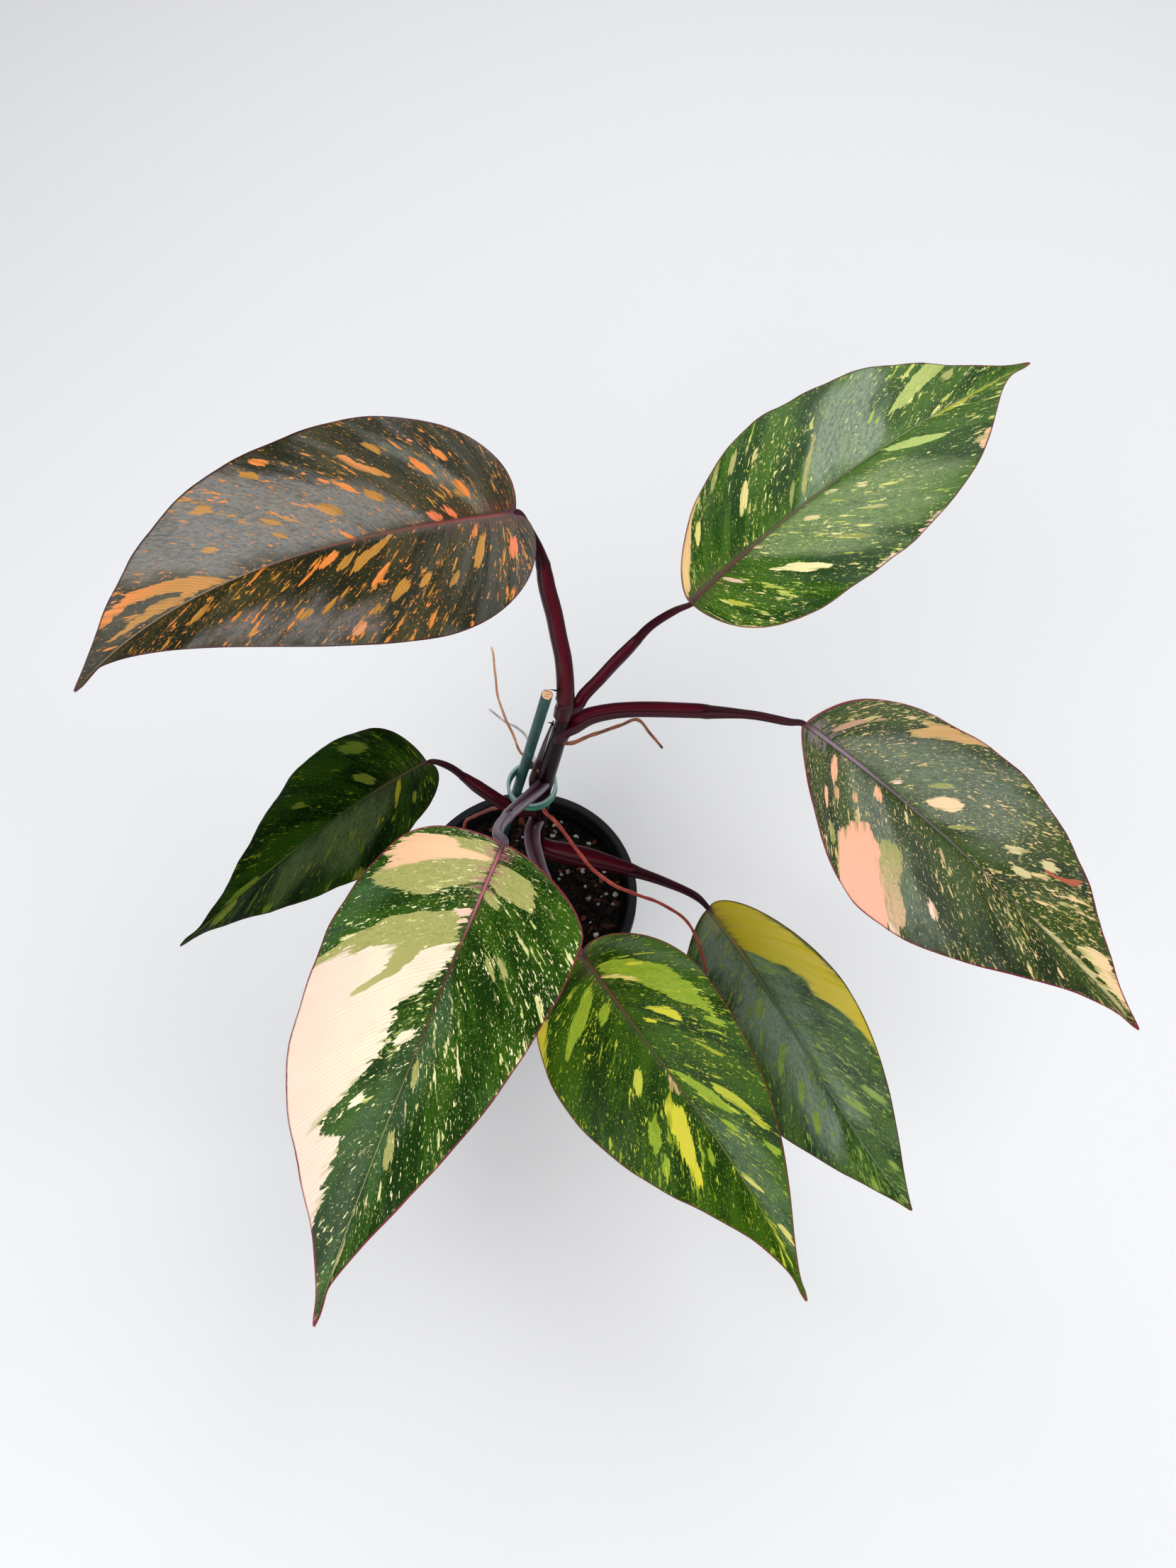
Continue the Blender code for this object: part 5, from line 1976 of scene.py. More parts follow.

# Each blade's first markings are painted sheen: grey or grey-green patches painted into the leaf's
# colour where it would catch a highlight.
BLADES = (
    Blade(
        1,
        BladeShape(
            (76.1, -27.0, 137.9), (155.1, -135.8, 92.6), 22, 13.5, 8, 0.6, 2.6, 7.3,
            Half(28, 53, (5, 12), 20, 36, (19.5, 8)), Half(37.5, 45.5, (0.5, 9.5), 25, 31.5, (24, 7))),
        LeafFinish(
            deep=paint(18, 50, 8), green=paint(62, 94, 30), fleck=paint(104, 138, 64),
            spark=paint(146, 164, 70), rib_base=paint(150, 130, 60), rib_middle=paint(100, 112, 84),
            rib_tip=paint(110, 130, 100), margin=paint(84, 52, 30), under=paint(120, 96, 76), seed=1,
            flecks=0.9, dashes=0.9, soft=1.2, jag=1.6, gloss=0.25, frost=0.7),
        (
            Marking(LEFT, BLOOM, paint(132, 156, 132), (
                (0.3, 0.0), (0.45, 0.25), (0.8, 0.4), (0.85, 0.0))),
            Marking(RIGHT, BLOOM, paint(146, 166, 148), (
                (0.1, 0.0), (0.2, 0.5), (0.3, 0.4), (0.5, 0.35), (0.75, 0.7), (0.8, 0.9), (0.82, 0.3),
                (0.7, 0.0))),
            Marking(LEFT, PALE, SUN, (
                (-0.1, 0), (-0.1, 1), (0.05, 1.4), (0.6, 1.4), (0.6, 1), (0.57, 0.97), (0.545, 0.92),
                (0.52, 0.83), (0.505, 0.7), (0.5, 0.55), (0.47, 0.57), (0.445, 0.5), (0.435, 0.4),
                (0.44, 0.28), (0.42, 0.2), (0.41, 0.06), (0.38, 0.0)), paint(198, 182, 14)),
            *lenses(
                LEFT, MIDDLE, PEA, (0.715, 0.8, 0.012, 0.14), (0.785, 0.42, 0.009, 0.22),
                (0.89, 0.75, 0.011, 0.14)),
            *lenses(
                RIGHT, MIDDLE, PEA, (0.545, 0.2, 0.009, 0.1), (0.64, 0.37, 0.01, 0.17),
                (0.705, 0.45, 0.01, 0.13), (0.75, 0.6, 0.013, 0.13), (0.9, 0.85, 0.01, 0.2)),
        ),
    ),
    Blade(
        2,
        BladeShape(
            (25.5, -55.7, 166.2), (106.5, -170.3, 119.3), 19, 13.8, 8.2, 5.5, -1.9, 7.3,
            Half(33, 32.5, (5, 10), 22.5, 55.5, (34, 2.5)), Half(38, 40.5, (7, 15), 31, 46, (41, 2.5))),
        LeafFinish(
            deep=paint(22, 50, 3), green=paint(54, 88, 8), fleck=paint(124, 148, 34),
            spark=paint(186, 192, 62), rib_base=paint(104, 66, 52), rib_middle=paint(84, 78, 44),
            rib_tip=paint(112, 134, 60), margin=paint(112, 62, 48), under=paint(140, 96, 76), seed=2,
            flecks=0.65, dashes=0.75, jag=5.0, gloss=0.1, frost=0.55, rib_width=0.5),
        (
            Marking(LEFT, BLOOM, paint(104, 126, 96), (
                (0.03, 0.2), (0.1, 0.9), (0.3, 0.95), (0.2, 0.4))),
            Marking(LEFT, BLOOM, paint(104, 130, 96), (
                (0.72, 0.0), (0.66, 0.6), (0.8, 1.0), (0.9, 0.8), (0.84, 0.0))),
            Marking(LEFT, MIDDLE, LEAF_LIME, (
                (0.24, 0.05), (0.24, 0.25), (0.255, 0.45), (0.285, 0.68), (0.325, 0.8), (0.355, 0.82),
                (0.385, 0.82), (0.405, 0.87), (0.417, 0.82), (0.395, 0.72), (0.405, 0.66), (0.395, 0.57),
                (0.37, 0.45), (0.345, 0.33), (0.315, 0.13), (0.29, 0.05))),
            Marking(LEFT, PALE, paint(222, 206, 112), (
                (0.3, 0.03), (0.305, 0.2), (0.33, 0.36), (0.342, 0.36), (0.325, 0.18), (0.31, 0.03))),
            *lenses(LEFT, PALE, LEMON, (0.272, 0.42, 0.012, 0.1), (0.475, 0.2, 0.006, 0.06)),
            Marking(LEFT, PALE, LEMON, (
                (0.43, 0.25), (0.42, 0.4), (0.425, 0.5), (0.44, 0.56), (0.455, 0.5), (0.45, 0.4),
                (0.445, 0.3))),
            Marking(LEFT, PALE, LEMON, (
                (0.5, 0.42), (0.505, 0.55), (0.518, 0.72), (0.525, 0.7), (0.51, 0.5))),
            *lenses(
                LEFT, MIDDLE, LEAF_LIME, (0.43, 0.82, 0.01, 0.08), (0.7, 0.42, 0.009, 0.1),
                (0.69, 0.9, 0.012, 0.08)),
            Marking(LEFT, MIDDLE, LEAF_LIME, (
                (0.605, 0.05), (0.62, 0.25), (0.63, 0.4), (0.65, 0.55), (0.668, 0.5), (0.66, 0.3),
                (0.63, 0.12))),
            Marking(LEFT, PALE, paint(178, 186, 46), (
                (0.61, 0.42), (0.605, 0.6), (0.63, 0.8), (0.65, 0.95), (0.655, 0.82), (0.64, 0.65),
                (0.63, 0.5))),
            *lenses(
                LEFT, PALE, paint(208, 204, 110), (0.815, 0.25, 0.01, 0.22), (0.87, 0.75, 0.01, 0.2)),
            Marking(LEFT, PALE, LEMON, ((0.88, 0.0), (0.9, 0.3), (0.94, 0.5), (0.96, 0.2), (0.93, 0.0))),
            Marking(RIGHT, MIDDLE, LEAF_LIME, (
                (0.295, 0.12), (0.33, 0.12), (0.345, 0.25), (0.355, 0.38), (0.34, 0.55), (0.335, 0.75),
                (0.322, 0.7), (0.308, 0.5), (0.303, 0.33), (0.29, 0.2))),
            *lenses(
                RIGHT, MIDDLE, LEAF_LIME, (0.395, 0.16, 0.018, 0.09), (0.6, 0.62, 0.016, 0.12),
                (0.625, 0.8, 0.01, 0.07), (0.745, 0.32, 0.012, 0.1)),
            Marking(RIGHT, PALE, paint(190, 180, 44), (
                (0.19, 1.05), (0.2, 0.85), (0.225, 0.76), (0.25, 0.85), (0.275, 0.95), (0.28, 1.05))),
            *lenses(RIGHT, PALE, paint(186, 196, 60), (0.545, 0.36, 0.014, 0.1)),
            Marking(RIGHT, PALE, LEMON, (
                (0.632, 0.18), (0.672, 0.18), (0.69, 0.35), (0.702, 0.5), (0.714, 0.65), (0.712, 0.8),
                (0.69, 0.74), (0.665, 0.62), (0.64, 0.46), (0.628, 0.42), (0.618, 0.3))),
            *lenses(RIGHT, PALE, paint(206, 172, 120), (0.645, 0.05, 0.02, 0.06)),
        ),
    ),
    Blade(
        3,
        BladeShape(
            (-34.3, 18.2, 178.1), (-134.2, -41.7, 134.2), 13, 11, 6.4, 1.3, -2.1, 6.4,
            Half(33.5, 41, (10.5, 15.5), 27, 23.5, (26, 3)),
            Half(33.5, 28.5, (-1.5, 10), 21.5, 37.5, (38, 0))),
        LeafFinish(
            deep=paint(4, 20, 0), green=paint(24, 48, 2), fleck=paint(58, 74, 6),
            spark=paint(96, 102, 10), rib_base=paint(66, 62, 34), rib_middle=paint(50, 60, 28),
            rib_tip=paint(96, 116, 30), margin=paint(40, 30, 20), under=paint(104, 84, 66), seed=3,
            flecks=0.3, dashes=0.75, soft=0.9, jag=6.0, gloss=0.05, frost=0.45),
        (
            Marking(LEFT, BLOOM, paint(88, 102, 64), (
                (0.35, 0.2), (0.45, 0.8), (0.7, 0.8), (0.75, 0.2), (0.6, 0.0))),
            *lenses(RIGHT, MIDDLE, paint(72, 88, 22), (0.325, 0.72, 0.03, 0.13)),
            *lenses(RIGHT, MIDDLE, paint(78, 88, 24), (0.43, 0.24, 0.02, 0.13)),
            *lenses(RIGHT, MIDDLE, paint(70, 84, 22), (0.56, 0.65, 0.012, 0.07)),
            *lenses(LEFT, MIDDLE, paint(128, 120, 22), (0.345, 0.22, 0.013, 0.2)),
            *lenses(LEFT, MIDDLE, paint(96, 104, 26), (0.25, 0.5, 0.012, 0.08)),
            *lenses(LEFT, MIDDLE, paint(90, 96, 30), (0.43, 0.95, 0.02, 0.07)),
            *lenses(LEFT, MIDDLE, paint(80, 98, 30), (0.7, 0.93, 0.014, 0.08)),
            *lenses(LEFT, MIDDLE, paint(96, 108, 30), (0.88, 0.4, 0.03, 0.4)),
            *lenses(RIGHT, MIDDLE, paint(84, 100, 26), (0.84, 0.2, 0.04, 0.2)),
        ),
    ),
    Blade(
        4,
        BladeShape(
            (0.7, -42.0, 232.8), (-54.5, -182.1, 189.1), 8, 14, 9.7, 1.8, 0.6, 6.8,
            Half(39.5, 25, (0, 5.5), 11.5, 63, (20, -6.5)), Half(42, 53, (4, 32), 41.5, 58.5, (45, 9))),
        LeafFinish(
            deep=paint(20, 50, 3), green=paint(54, 90, 14), fleck=paint(206, 208, 130),
            spark=paint(244, 234, 184), rib_base=paint(186, 104, 122), rib_middle=paint(96, 62, 48),
            rib_tip=paint(150, 160, 112), margin=paint(138, 32, 64), under=paint(176, 132, 112), seed=4,
            flecks=0.6, dashes=0.6, soft=0.2, jag=6.5, gloss=0.15, frost=0.4, rib_width=0.45),
        (
            Marking(RIGHT, BLOOM, paint(88, 116, 92), (
                (0.28, 0.8), (0.3, 1.0), (0.42, 1.0), (0.4, 0.8))),
            Marking(RIGHT, BLOOM, paint(92, 122, 80), (
                (0.66, 0.0), (0.75, 0.5), (0.95, 0.9), (0.96, 0.0))),
            Marking(LEFT, BLOOM, paint(96, 124, 92), (
                (0.55, 0.0), (0.6, 0.3), (0.85, 0.35), (0.9, 0.0))),
            Marking(RIGHT, PALE, PEACH, (
                (0.185, 0.97), (0.168, 0.85), (0.168, 0.6), (0.175, 0.5), (0.19, 0.4), (0.205, 0.35),
                (0.212, 0.2), (0.225, 0.05), (0.24, 0.05), (0.25, 0.25), (0.258, 0.45), (0.268, 0.65),
                (0.275, 0.86), (0.25, 0.88), (0.225, 0.93)), paint(240, 192, 152)),
            Marking(RIGHT, MIDDLE, LIME, (
                (0.13, 0.12), (0.15, 0.35), (0.165, 0.55), (0.2, 0.6), (0.27, 0.88), (0.3, 0.87),
                (0.313, 0.72), (0.33, 0.62), (0.35, 0.52), (0.362, 0.42), (0.352, 0.3), (0.34, 0.15),
                (0.33, 0.04), (0.24, 0.02), (0.17, 0.05))),
            Marking(RIGHT, MIDDLE, LIME, (
                (0.42, 0.99), (0.425, 0.9), (0.415, 0.79), (0.405, 0.7), (0.4, 0.54), (0.402, 0.38),
                (0.413, 0.3), (0.415, 0.2), (0.415, 0.05), (0.5, 0.02), (0.51, 0.2), (0.53, 0.4),
                (0.5, 0.6), (0.48, 0.8), (0.47, 1.0))),
            Marking(RIGHT, PALE, CREAM, (
                (0.497, 0.03), (0.545, 0.02), (0.581, 0.16), (0.6, 0.33), (0.631, 0.3), (0.672, 0.37),
                (0.7, 0.52), (0.708, 0.66), (0.73, 0.8), (0.764, 0.55), (0.797, 0.72), (0.827, 0.8),
                (0.85, 0.99), (0.86, 1.5), (0.6, 1.5), (0.455, 1.3), (0.444, 0.9), (0.433, 0.77),
                (0.457, 0.73), (0.455, 0.62), (0.469, 0.45), (0.5, 0.4),
                (0.5, 0.25)), paint(247, 216, 196)),
            Marking(RIGHT, PALE, BLUSH, ((0.41, 0.03), (0.415, 0.12), (0.46, 0.08), (0.48, 0.02))),
            Marking(RIGHT, OVER, LIME, (
                (0.49, 0.24), (0.512, 0.28), (0.53, 0.36), (0.54, 0.5), (0.545, 0.72), (0.53, 0.62),
                (0.52, 0.5), (0.5, 0.46), (0.48, 0.44)), paint(206, 196, 140)),
            *lenses(RIGHT, PALE, CREAM, (0.725, 0.45, 0.008, 0.07), (0.66, 0.13, 0.01, 0.1)),
            Marking(LEFT, MIDDLE, LIME, (
                (0.24, 0.03), (0.235, 0.2), (0.25, 0.42), (0.285, 0.52), (0.305, 0.5), (0.32, 0.35),
                (0.335, 0.15), (0.33, 0.02)), paint(224, 200, 130)),
            *lenses(
                LEFT, MIDDLE, LIME, (0.36, 0.1, 0.016, 0.1), (0.46, 0.4, 0.008, 0.08),
                (0.43, 0.5, 0.008, 0.1), (0.7, 0.15, 0.01, 0.1), (0.78, 0.36, 0.016, 0.16)),
            *lenses(LEFT, MIDDLE, paint(190, 176, 120), (0.92, 0.35, 0.02, 0.2)),
        ),
    ),
    Blade(
        5,
        BladeShape(
            (99.1, -4.8, 246.0), (205.9, -95.8, 205.5), 4, 9.6, 8.2, 0.1, 0.6, 8.4,
            Half(34.5, 61, (-4, 21.5), 38, 34.5, (34.5, 9)),
            Half(39, 48.5, (4, 2.5), 16.5, 39, (38.5, 5))),
        LeafFinish(
            deep=paint(26, 42, 8), green=paint(54, 74, 22), fleck=paint(176, 168, 98),
            spark=paint(228, 194, 140), rib_base=paint(140, 116, 130), rib_middle=paint(96, 84, 84),
            rib_tip=paint(84, 96, 70), margin=paint(126, 30, 54), under=paint(150, 104, 92), seed=5,
            flecks=0.85, dashes=0.75, jag=4.0, gloss=0.22, frost=0.5),
        (
            Marking(LEFT, BLOOM, paint(132, 144, 122), (
                (0.3, 0.0), (0.38, 0.7), (0.55, 1.0), (0.68, 0.4), (0.6, 0.0))),
            Marking(RIGHT, BLOOM, paint(132, 144, 124), (
                (0.36, 0.1), (0.42, 0.45), (0.5, 0.95), (0.58, 0.9), (0.53, 0.4), (0.48, 0.05))),
            Marking(RIGHT, PALE, SALMON, (
                (0.36, 0.58), (0.41, 0.45), (0.44, 0.38), (0.46, 0.47), (0.472, 0.52), (0.456, 0.65),
                (0.465, 0.8), (0.455, 0.95), (0.45, 1.1), (0.4, 1.1), (0.33, 1.1), (0.335, 0.9),
                (0.34, 0.8), (0.345, 0.65)), paint(242, 178, 150)),
            Marking(RIGHT, MIDDLE, OLIVE, (
                (0.45, 0.5), (0.49, 0.43), (0.51, 0.4), (0.525, 0.45), (0.522, 0.55), (0.5, 0.7),
                (0.505, 0.8), (0.5, 0.9), (0.47, 1.0), (0.44, 0.9), (0.45, 0.7)), paint(212, 172, 136)),
            Marking(RIGHT, PALE, BLUSH, ((0.46, 0.93), (0.475, 0.95), (0.5, 1.1), (0.46, 1.1))),
            *lenses(
                RIGHT, PALE, SALMON, (0.33, 0.2, 0.016, 0.1), (0.3, 0.48, 0.012, 0.09),
                (0.345, 0.36, 0.012, 0.05), (0.41, 0.28, 0.01, 0.05), (0.48, 0.12, 0.01, 0.06)),
            *lenses(RIGHT, MIDDLE, OLIVE, (0.32, 0.7, 0.014, 0.08)),
            *lenses(RIGHT, PALE, PEACH, (0.63, 0.25, 0.006, 0.07)),
            *lenses(RIGHT, PALE, BLUSH, (0.57, 0.72, 0.008, 0.07)),
            *lenses(LEFT, PALE, paint(178, 138, 112), (0.25, 0.28, 0.016, 0.18)),
            *lenses(LEFT, PALE, paint(170, 132, 104), (0.265, 0.56, 0.01, 0.06)),
            Marking(LEFT, PALE, paint(186, 158, 90), (
                (0.28, 0.84), (0.31, 0.95), (0.385, 1.1), (0.38, 0.9), (0.36, 0.72), (0.355, 0.58),
                (0.35, 0.54), (0.325, 0.62), (0.32, 0.8)), paint(196, 154, 96)),
            *lenses(LEFT, PALE, paint(238, 206, 160), (0.57, 0.26, 0.02, 0.12)),
            *lenses(LEFT, MIDDLE, OLIVE, (0.52, 0.36, 0.01, 0.09), (0.63, 0.2, 0.007, 0.12)),
            *lenses(LEFT, PALE, BLUSH, (0.5, 0.1, 0.006, 0.06)),
            *lenses(
                LEFT, PALE, paint(206, 196, 140), (0.67, 0.5, 0.01, 0.09), (0.69, 0.72, 0.012, 0.06),
                (0.72, 0.4, 0.01, 0.08)),
            Marking(LEFT, PALE, paint(212, 206, 140), (
                (0.845, 0.6), (0.84, 0.75), (0.85, 0.9), (0.89, 0.99), (0.96, 0.9), (0.92, 0.5),
                (0.885, 0.5), (0.858, 0.45)), PEACH),
            Marking(LEFT, PALE, paint(196, 186, 128), (
                (0.81, 0.0), (0.85, 0.14), (0.9, 0.3), (0.97, 0.5), (0.97, 0.0))),
            Marking(LEFT, OVER, paint(170, 84, 56), (
                (0.7, 0.66), (0.708, 0.64), (0.716, 0.72), (0.722, 0.84), (0.712, 0.92), (0.7, 0.96),
                (0.706, 0.86), (0.708, 0.74))),
        ),
    ),
    Blade(
        6,
        BladeShape(
            (62.9, 40.6, 250.2), (187.7, 130.0, 273.0), -1.3, 12, 9.1, 1.5, 0.3, 8.4,
            Half(36.5, 59.5, (1.5, 7.5), 33, 58, (33, 8)),
            Half(38.5, 51, (0, 22.5), 39.5, 69.5, (29.5, -1.5))),
        LeafFinish(
            deep=paint(24, 60, 3), green=paint(64, 102, 16), fleck=paint(168, 184, 76),
            spark=paint(230, 222, 140), rib_base=paint(96, 56, 60), rib_middle=paint(96, 84, 60),
            rib_tip=paint(120, 140, 84), margin=paint(112, 66, 50), under=paint(140, 110, 92), seed=6,
            flecks=0.5, dashes=0.7, soft=0.3, jag=4.5, gloss=0.22, frost=0.65),
        (
            Marking(LEFT, BLOOM, paint(160, 176, 150), (
                (0.6, 0.0), (0.59, 0.5), (0.58, 0.8), (0.6, 1.0), (0.7, 1.0), (0.72, 0.6), (0.75, 0.3),
                (0.78, 0.0))),
            Marking(RIGHT, BLOOM, paint(140, 160, 110), (
                (0.42, 0.0), (0.45, 0.9), (0.7, 0.9), (0.72, 0.3), (0.6, 0.0))),
            Marking(LEFT, PALE, paint(232, 200, 132), (
                (0.02, 0.3), (0.03, 1.05), (0.15, 1.1), (0.245, 1.1), (0.235, 0.95), (0.2, 0.85),
                (0.195, 0.6), (0.185, 0.4), (0.12, 0.15)), paint(226, 184, 130)),
            *lenses(LEFT, PALE, paint(224, 212, 120), (0.245, 0.55, 0.014, 0.12)),
            *lenses(LEFT, MIDDLE, OLIVE, (0.305, 0.88, 0.014, 0.12), (0.57, 0.16, 0.006, 0.12)),
            *lenses(
                LEFT, MIDDLE, LIME, (0.37, 0.8, 0.012, 0.08), (0.6, 0.3, 0.007, 0.26),
                (0.835, 0.82, 0.012, 0.09), (0.87, 0.8, 0.008, 0.08)),
            *lenses(LEFT, PALE, paint(232, 220, 140), (0.43, 0.42, 0.013, 0.13)),
            *lenses(LEFT, PALE, paint(206, 196, 130), (0.44, 0.7, 0.006, 0.05)),
            Marking(LEFT, MIDDLE, paint(176, 190, 104), (
                (0.752, 0.4), (0.758, 0.6), (0.765, 0.8), (0.78, 1.05), (0.82, 1.05), (0.815, 0.85),
                (0.8, 0.7), (0.785, 0.5))),
            Marking(RIGHT, MIDDLE, paint(174, 176, 30), (
                (0.84, 0.0), (0.86, 0.25), (0.95, 0.6), (0.97, 0.2), (0.95, 0.0))),
            Marking(RIGHT, PALE, paint(240, 232, 168), (
                (0.385, 0.3), (0.378, 0.38), (0.385, 0.42), (0.38, 0.55), (0.39, 0.66), (0.4, 0.74),
                (0.412, 0.6), (0.41, 0.45), (0.395, 0.4))),
            Marking(RIGHT, MIDDLE, paint(186, 184, 70), (
                (0.22, 0.2), (0.218, 0.35), (0.225, 0.5), (0.245, 0.52), (0.24, 0.3))),
            *lenses(RIGHT, PALE, paint(238, 214, 150), (0.135, 0.98, 0.03, 0.1)),
            *lenses(RIGHT, PALE, paint(232, 204, 178), (0.42, 1.0, 0.03, 0.035)),
            *lenses(RIGHT, PALE, paint(234, 190, 176), (0.525, 1.0, 0.04, 0.035)),
            *lenses(RIGHT, PALE, paint(236, 190, 150), (0.75, 1.0, 0.03, 0.08)),
            Marking(RIGHT, MIDDLE, paint(182, 200, 110), (
                (0.755, 0.03), (0.775, 0.1), (0.785, 0.3), (0.782, 0.6), (0.768, 0.55), (0.755, 0.35),
                (0.748, 0.12))),
            *lenses(RIGHT, PALE, paint(232, 216, 176), (0.64, 0.1, 0.009, 0.05)),
            *lenses(
                RIGHT, PALE, paint(222, 212, 150), (0.585, 0.52, 0.006, 0.09), (0.56, 0.2, 0.008, 0.05),
                (0.655, 0.28, 0.01, 0.05)),
            *lenses(
                RIGHT, PALE, paint(224, 192, 160), (0.32, 0.15, 0.008, 0.1), (0.46, 0.05, 0.008, 0.04)),
            *lenses(RIGHT, MIDDLE, OLIVE, (0.495, 0.62, 0.008, 0.12)),
        ),
    ),
    Blade(
        7,
        BladeShape(
            (5.3, 47.0, 288.8), (-140.7, 4.3, 250.0), -29, 13, 14.2, -11, 2.1, 8.3,
            Half(36, 29, (11.5, 4), 31, 55.5, (12, -8.5)), Half(36, 46.5, (4, 17), 32, 58, (34, 9))),
        LeafFinish(
            deep=paint(22, 26, 2), green=paint(54, 50, 14), fleck=paint(180, 126, 40),
            spark=paint(226, 126, 44), rib_base=paint(120, 50, 48), rib_middle=paint(104, 66, 50),
            rib_tip=paint(140, 120, 96), margin=paint(70, 22, 30), under=paint(124, 66, 58), seed=7,
            flecks=0.5, dashes=0.75, jag=3.5, gloss=0.4),
        (
            Marking(RIGHT, BLOOM, paint(143, 139, 135), (
                (0.42, 0.0), (0.45, 0.3), (0.52, 0.6), (0.58, 1.3), (0.8, 1.3), (0.76, 0.2),
                (0.6, 0.0))),
            Marking(RIGHT, BLOOM, paint(136, 138, 122), (
                (0.24, 0.05), (0.3, 0.5), (0.36, 0.75), (0.34, 0.4), (0.28, 0.0))),
            Marking(LEFT, BLOOM, paint(136, 128, 124), (
                (0.42, 0.75), (0.42, 1.0), (0.75, 1.0), (0.7, 0.75))),
            Marking(RIGHT, PALE, OCHRE, (
                (0.775, 0.0), (0.775, 0.3), (0.79, 0.5), (0.81, 0.8), (0.85, 1.02), (0.875, 0.95),
                (0.84, 0.7), (0.82, 0.45), (0.815, 0.25), (0.82, 0.1)), ORANGE),
            Marking(RIGHT, PALE, OCHRE, (
                (0.81, 0.05), (0.83, 0.3), (0.85, 0.42), (0.88, 0.5), (0.91, 0.55), (0.9, 0.3),
                (0.87, 0.15), (0.84, 0.03))),
            Marking(RIGHT, PALE, OCHRE, (
                (0.405, 0.46), (0.41, 0.55), (0.425, 0.62), (0.42, 0.72), (0.435, 0.72), (0.442, 0.6),
                (0.43, 0.5)), ORANGE),
            *lenses(
                RIGHT, PALE, OCHRE, (0.475, 0.34, 0.014, 0.06), (0.545, 0.84, 0.009, 0.05),
                (0.37, 0.72, 0.01, 0.06), (0.555, 0.33, 0.013, 0.08), (0.64, 0.82, 0.012, 0.05),
                (0.63, 0.42, 0.007, 0.06), (0.65, 0.28, 0.008, 0.06), (0.72, 0.5, 0.008, 0.05)),
            *lenses(
                RIGHT, PALE, ORANGE, (0.49, 0.47, 0.007, 0.08), (0.335, 0.5, 0.009, 0.1),
                (0.27, 0.6, 0.014, 0.06), (0.29, 0.26, 0.015, 0.1), (0.51, 0.9, 0.01, 0.05)),
            *lenses(
                RIGHT, PALE, paint(230, 112, 62), (0.41, 0.06, 0.014, 0.05), (0.37, 0.07, 0.01, 0.05)),
            Marking(LEFT, PALE, OCHRE, (
                (0.515, 0.04), (0.52, 0.15), (0.54, 0.36), (0.55, 0.34), (0.56, 0.2), (0.54, 0.08),
                (0.525, 0.03))),
            *lenses(
                LEFT, PALE, OCHRE, (0.575, 0.24, 0.01, 0.12), (0.285, 0.32, 0.012, 0.16),
                (0.43, 0.56, 0.014, 0.09), (0.45, 0.72, 0.01, 0.05), (0.39, 0.5, 0.01, 0.07),
                (0.33, 0.52, 0.008, 0.07), (0.575, 0.73, 0.012, 0.04), (0.545, 0.65, 0.007, 0.08),
                (0.78, 0.5, 0.01, 0.16)),
            *lenses(
                LEFT, PALE, ORANGE, (0.61, 0.18, 0.01, 0.09), (0.31, 0.12, 0.008, 0.07),
                (0.49, 0.4, 0.01, 0.1)),
            *lenses(LEFT, PALE, paint(230, 112, 62), (0.17, 0.4, 0.02, 0.12)),
            *lenses(LEFT, PALE, paint(212, 140, 96), (0.46, 0.86, 0.01, 0.06)),
        ),
    ),
)

MAROON = StalkFinish(paint(38, 4, 13), paint(54, 14, 26), paint(82, 6, 26), 1.0, 0.3, 0.14)
WINE = StalkFinish(paint(40, 4, 12), paint(54, 14, 24), paint(78, 5, 21), 2.0, 0.3, 0.14)
MAUVE = StalkFinish(paint(74, 56, 66), paint(122, 108, 120), paint(60, 10, 26), 3.0, 0.34, 0.3)
BARK_SKIN = StalkFinish(paint(17, 4, 8), paint(36, 14, 22), paint(44, 4, 14), 4.0, 0.3, 0.1)
BRACT_SKIN = StalkFinish(paint(72, 3, 10), paint(140, 112, 126), paint(52, 2, 8), 5.0, 0.42)

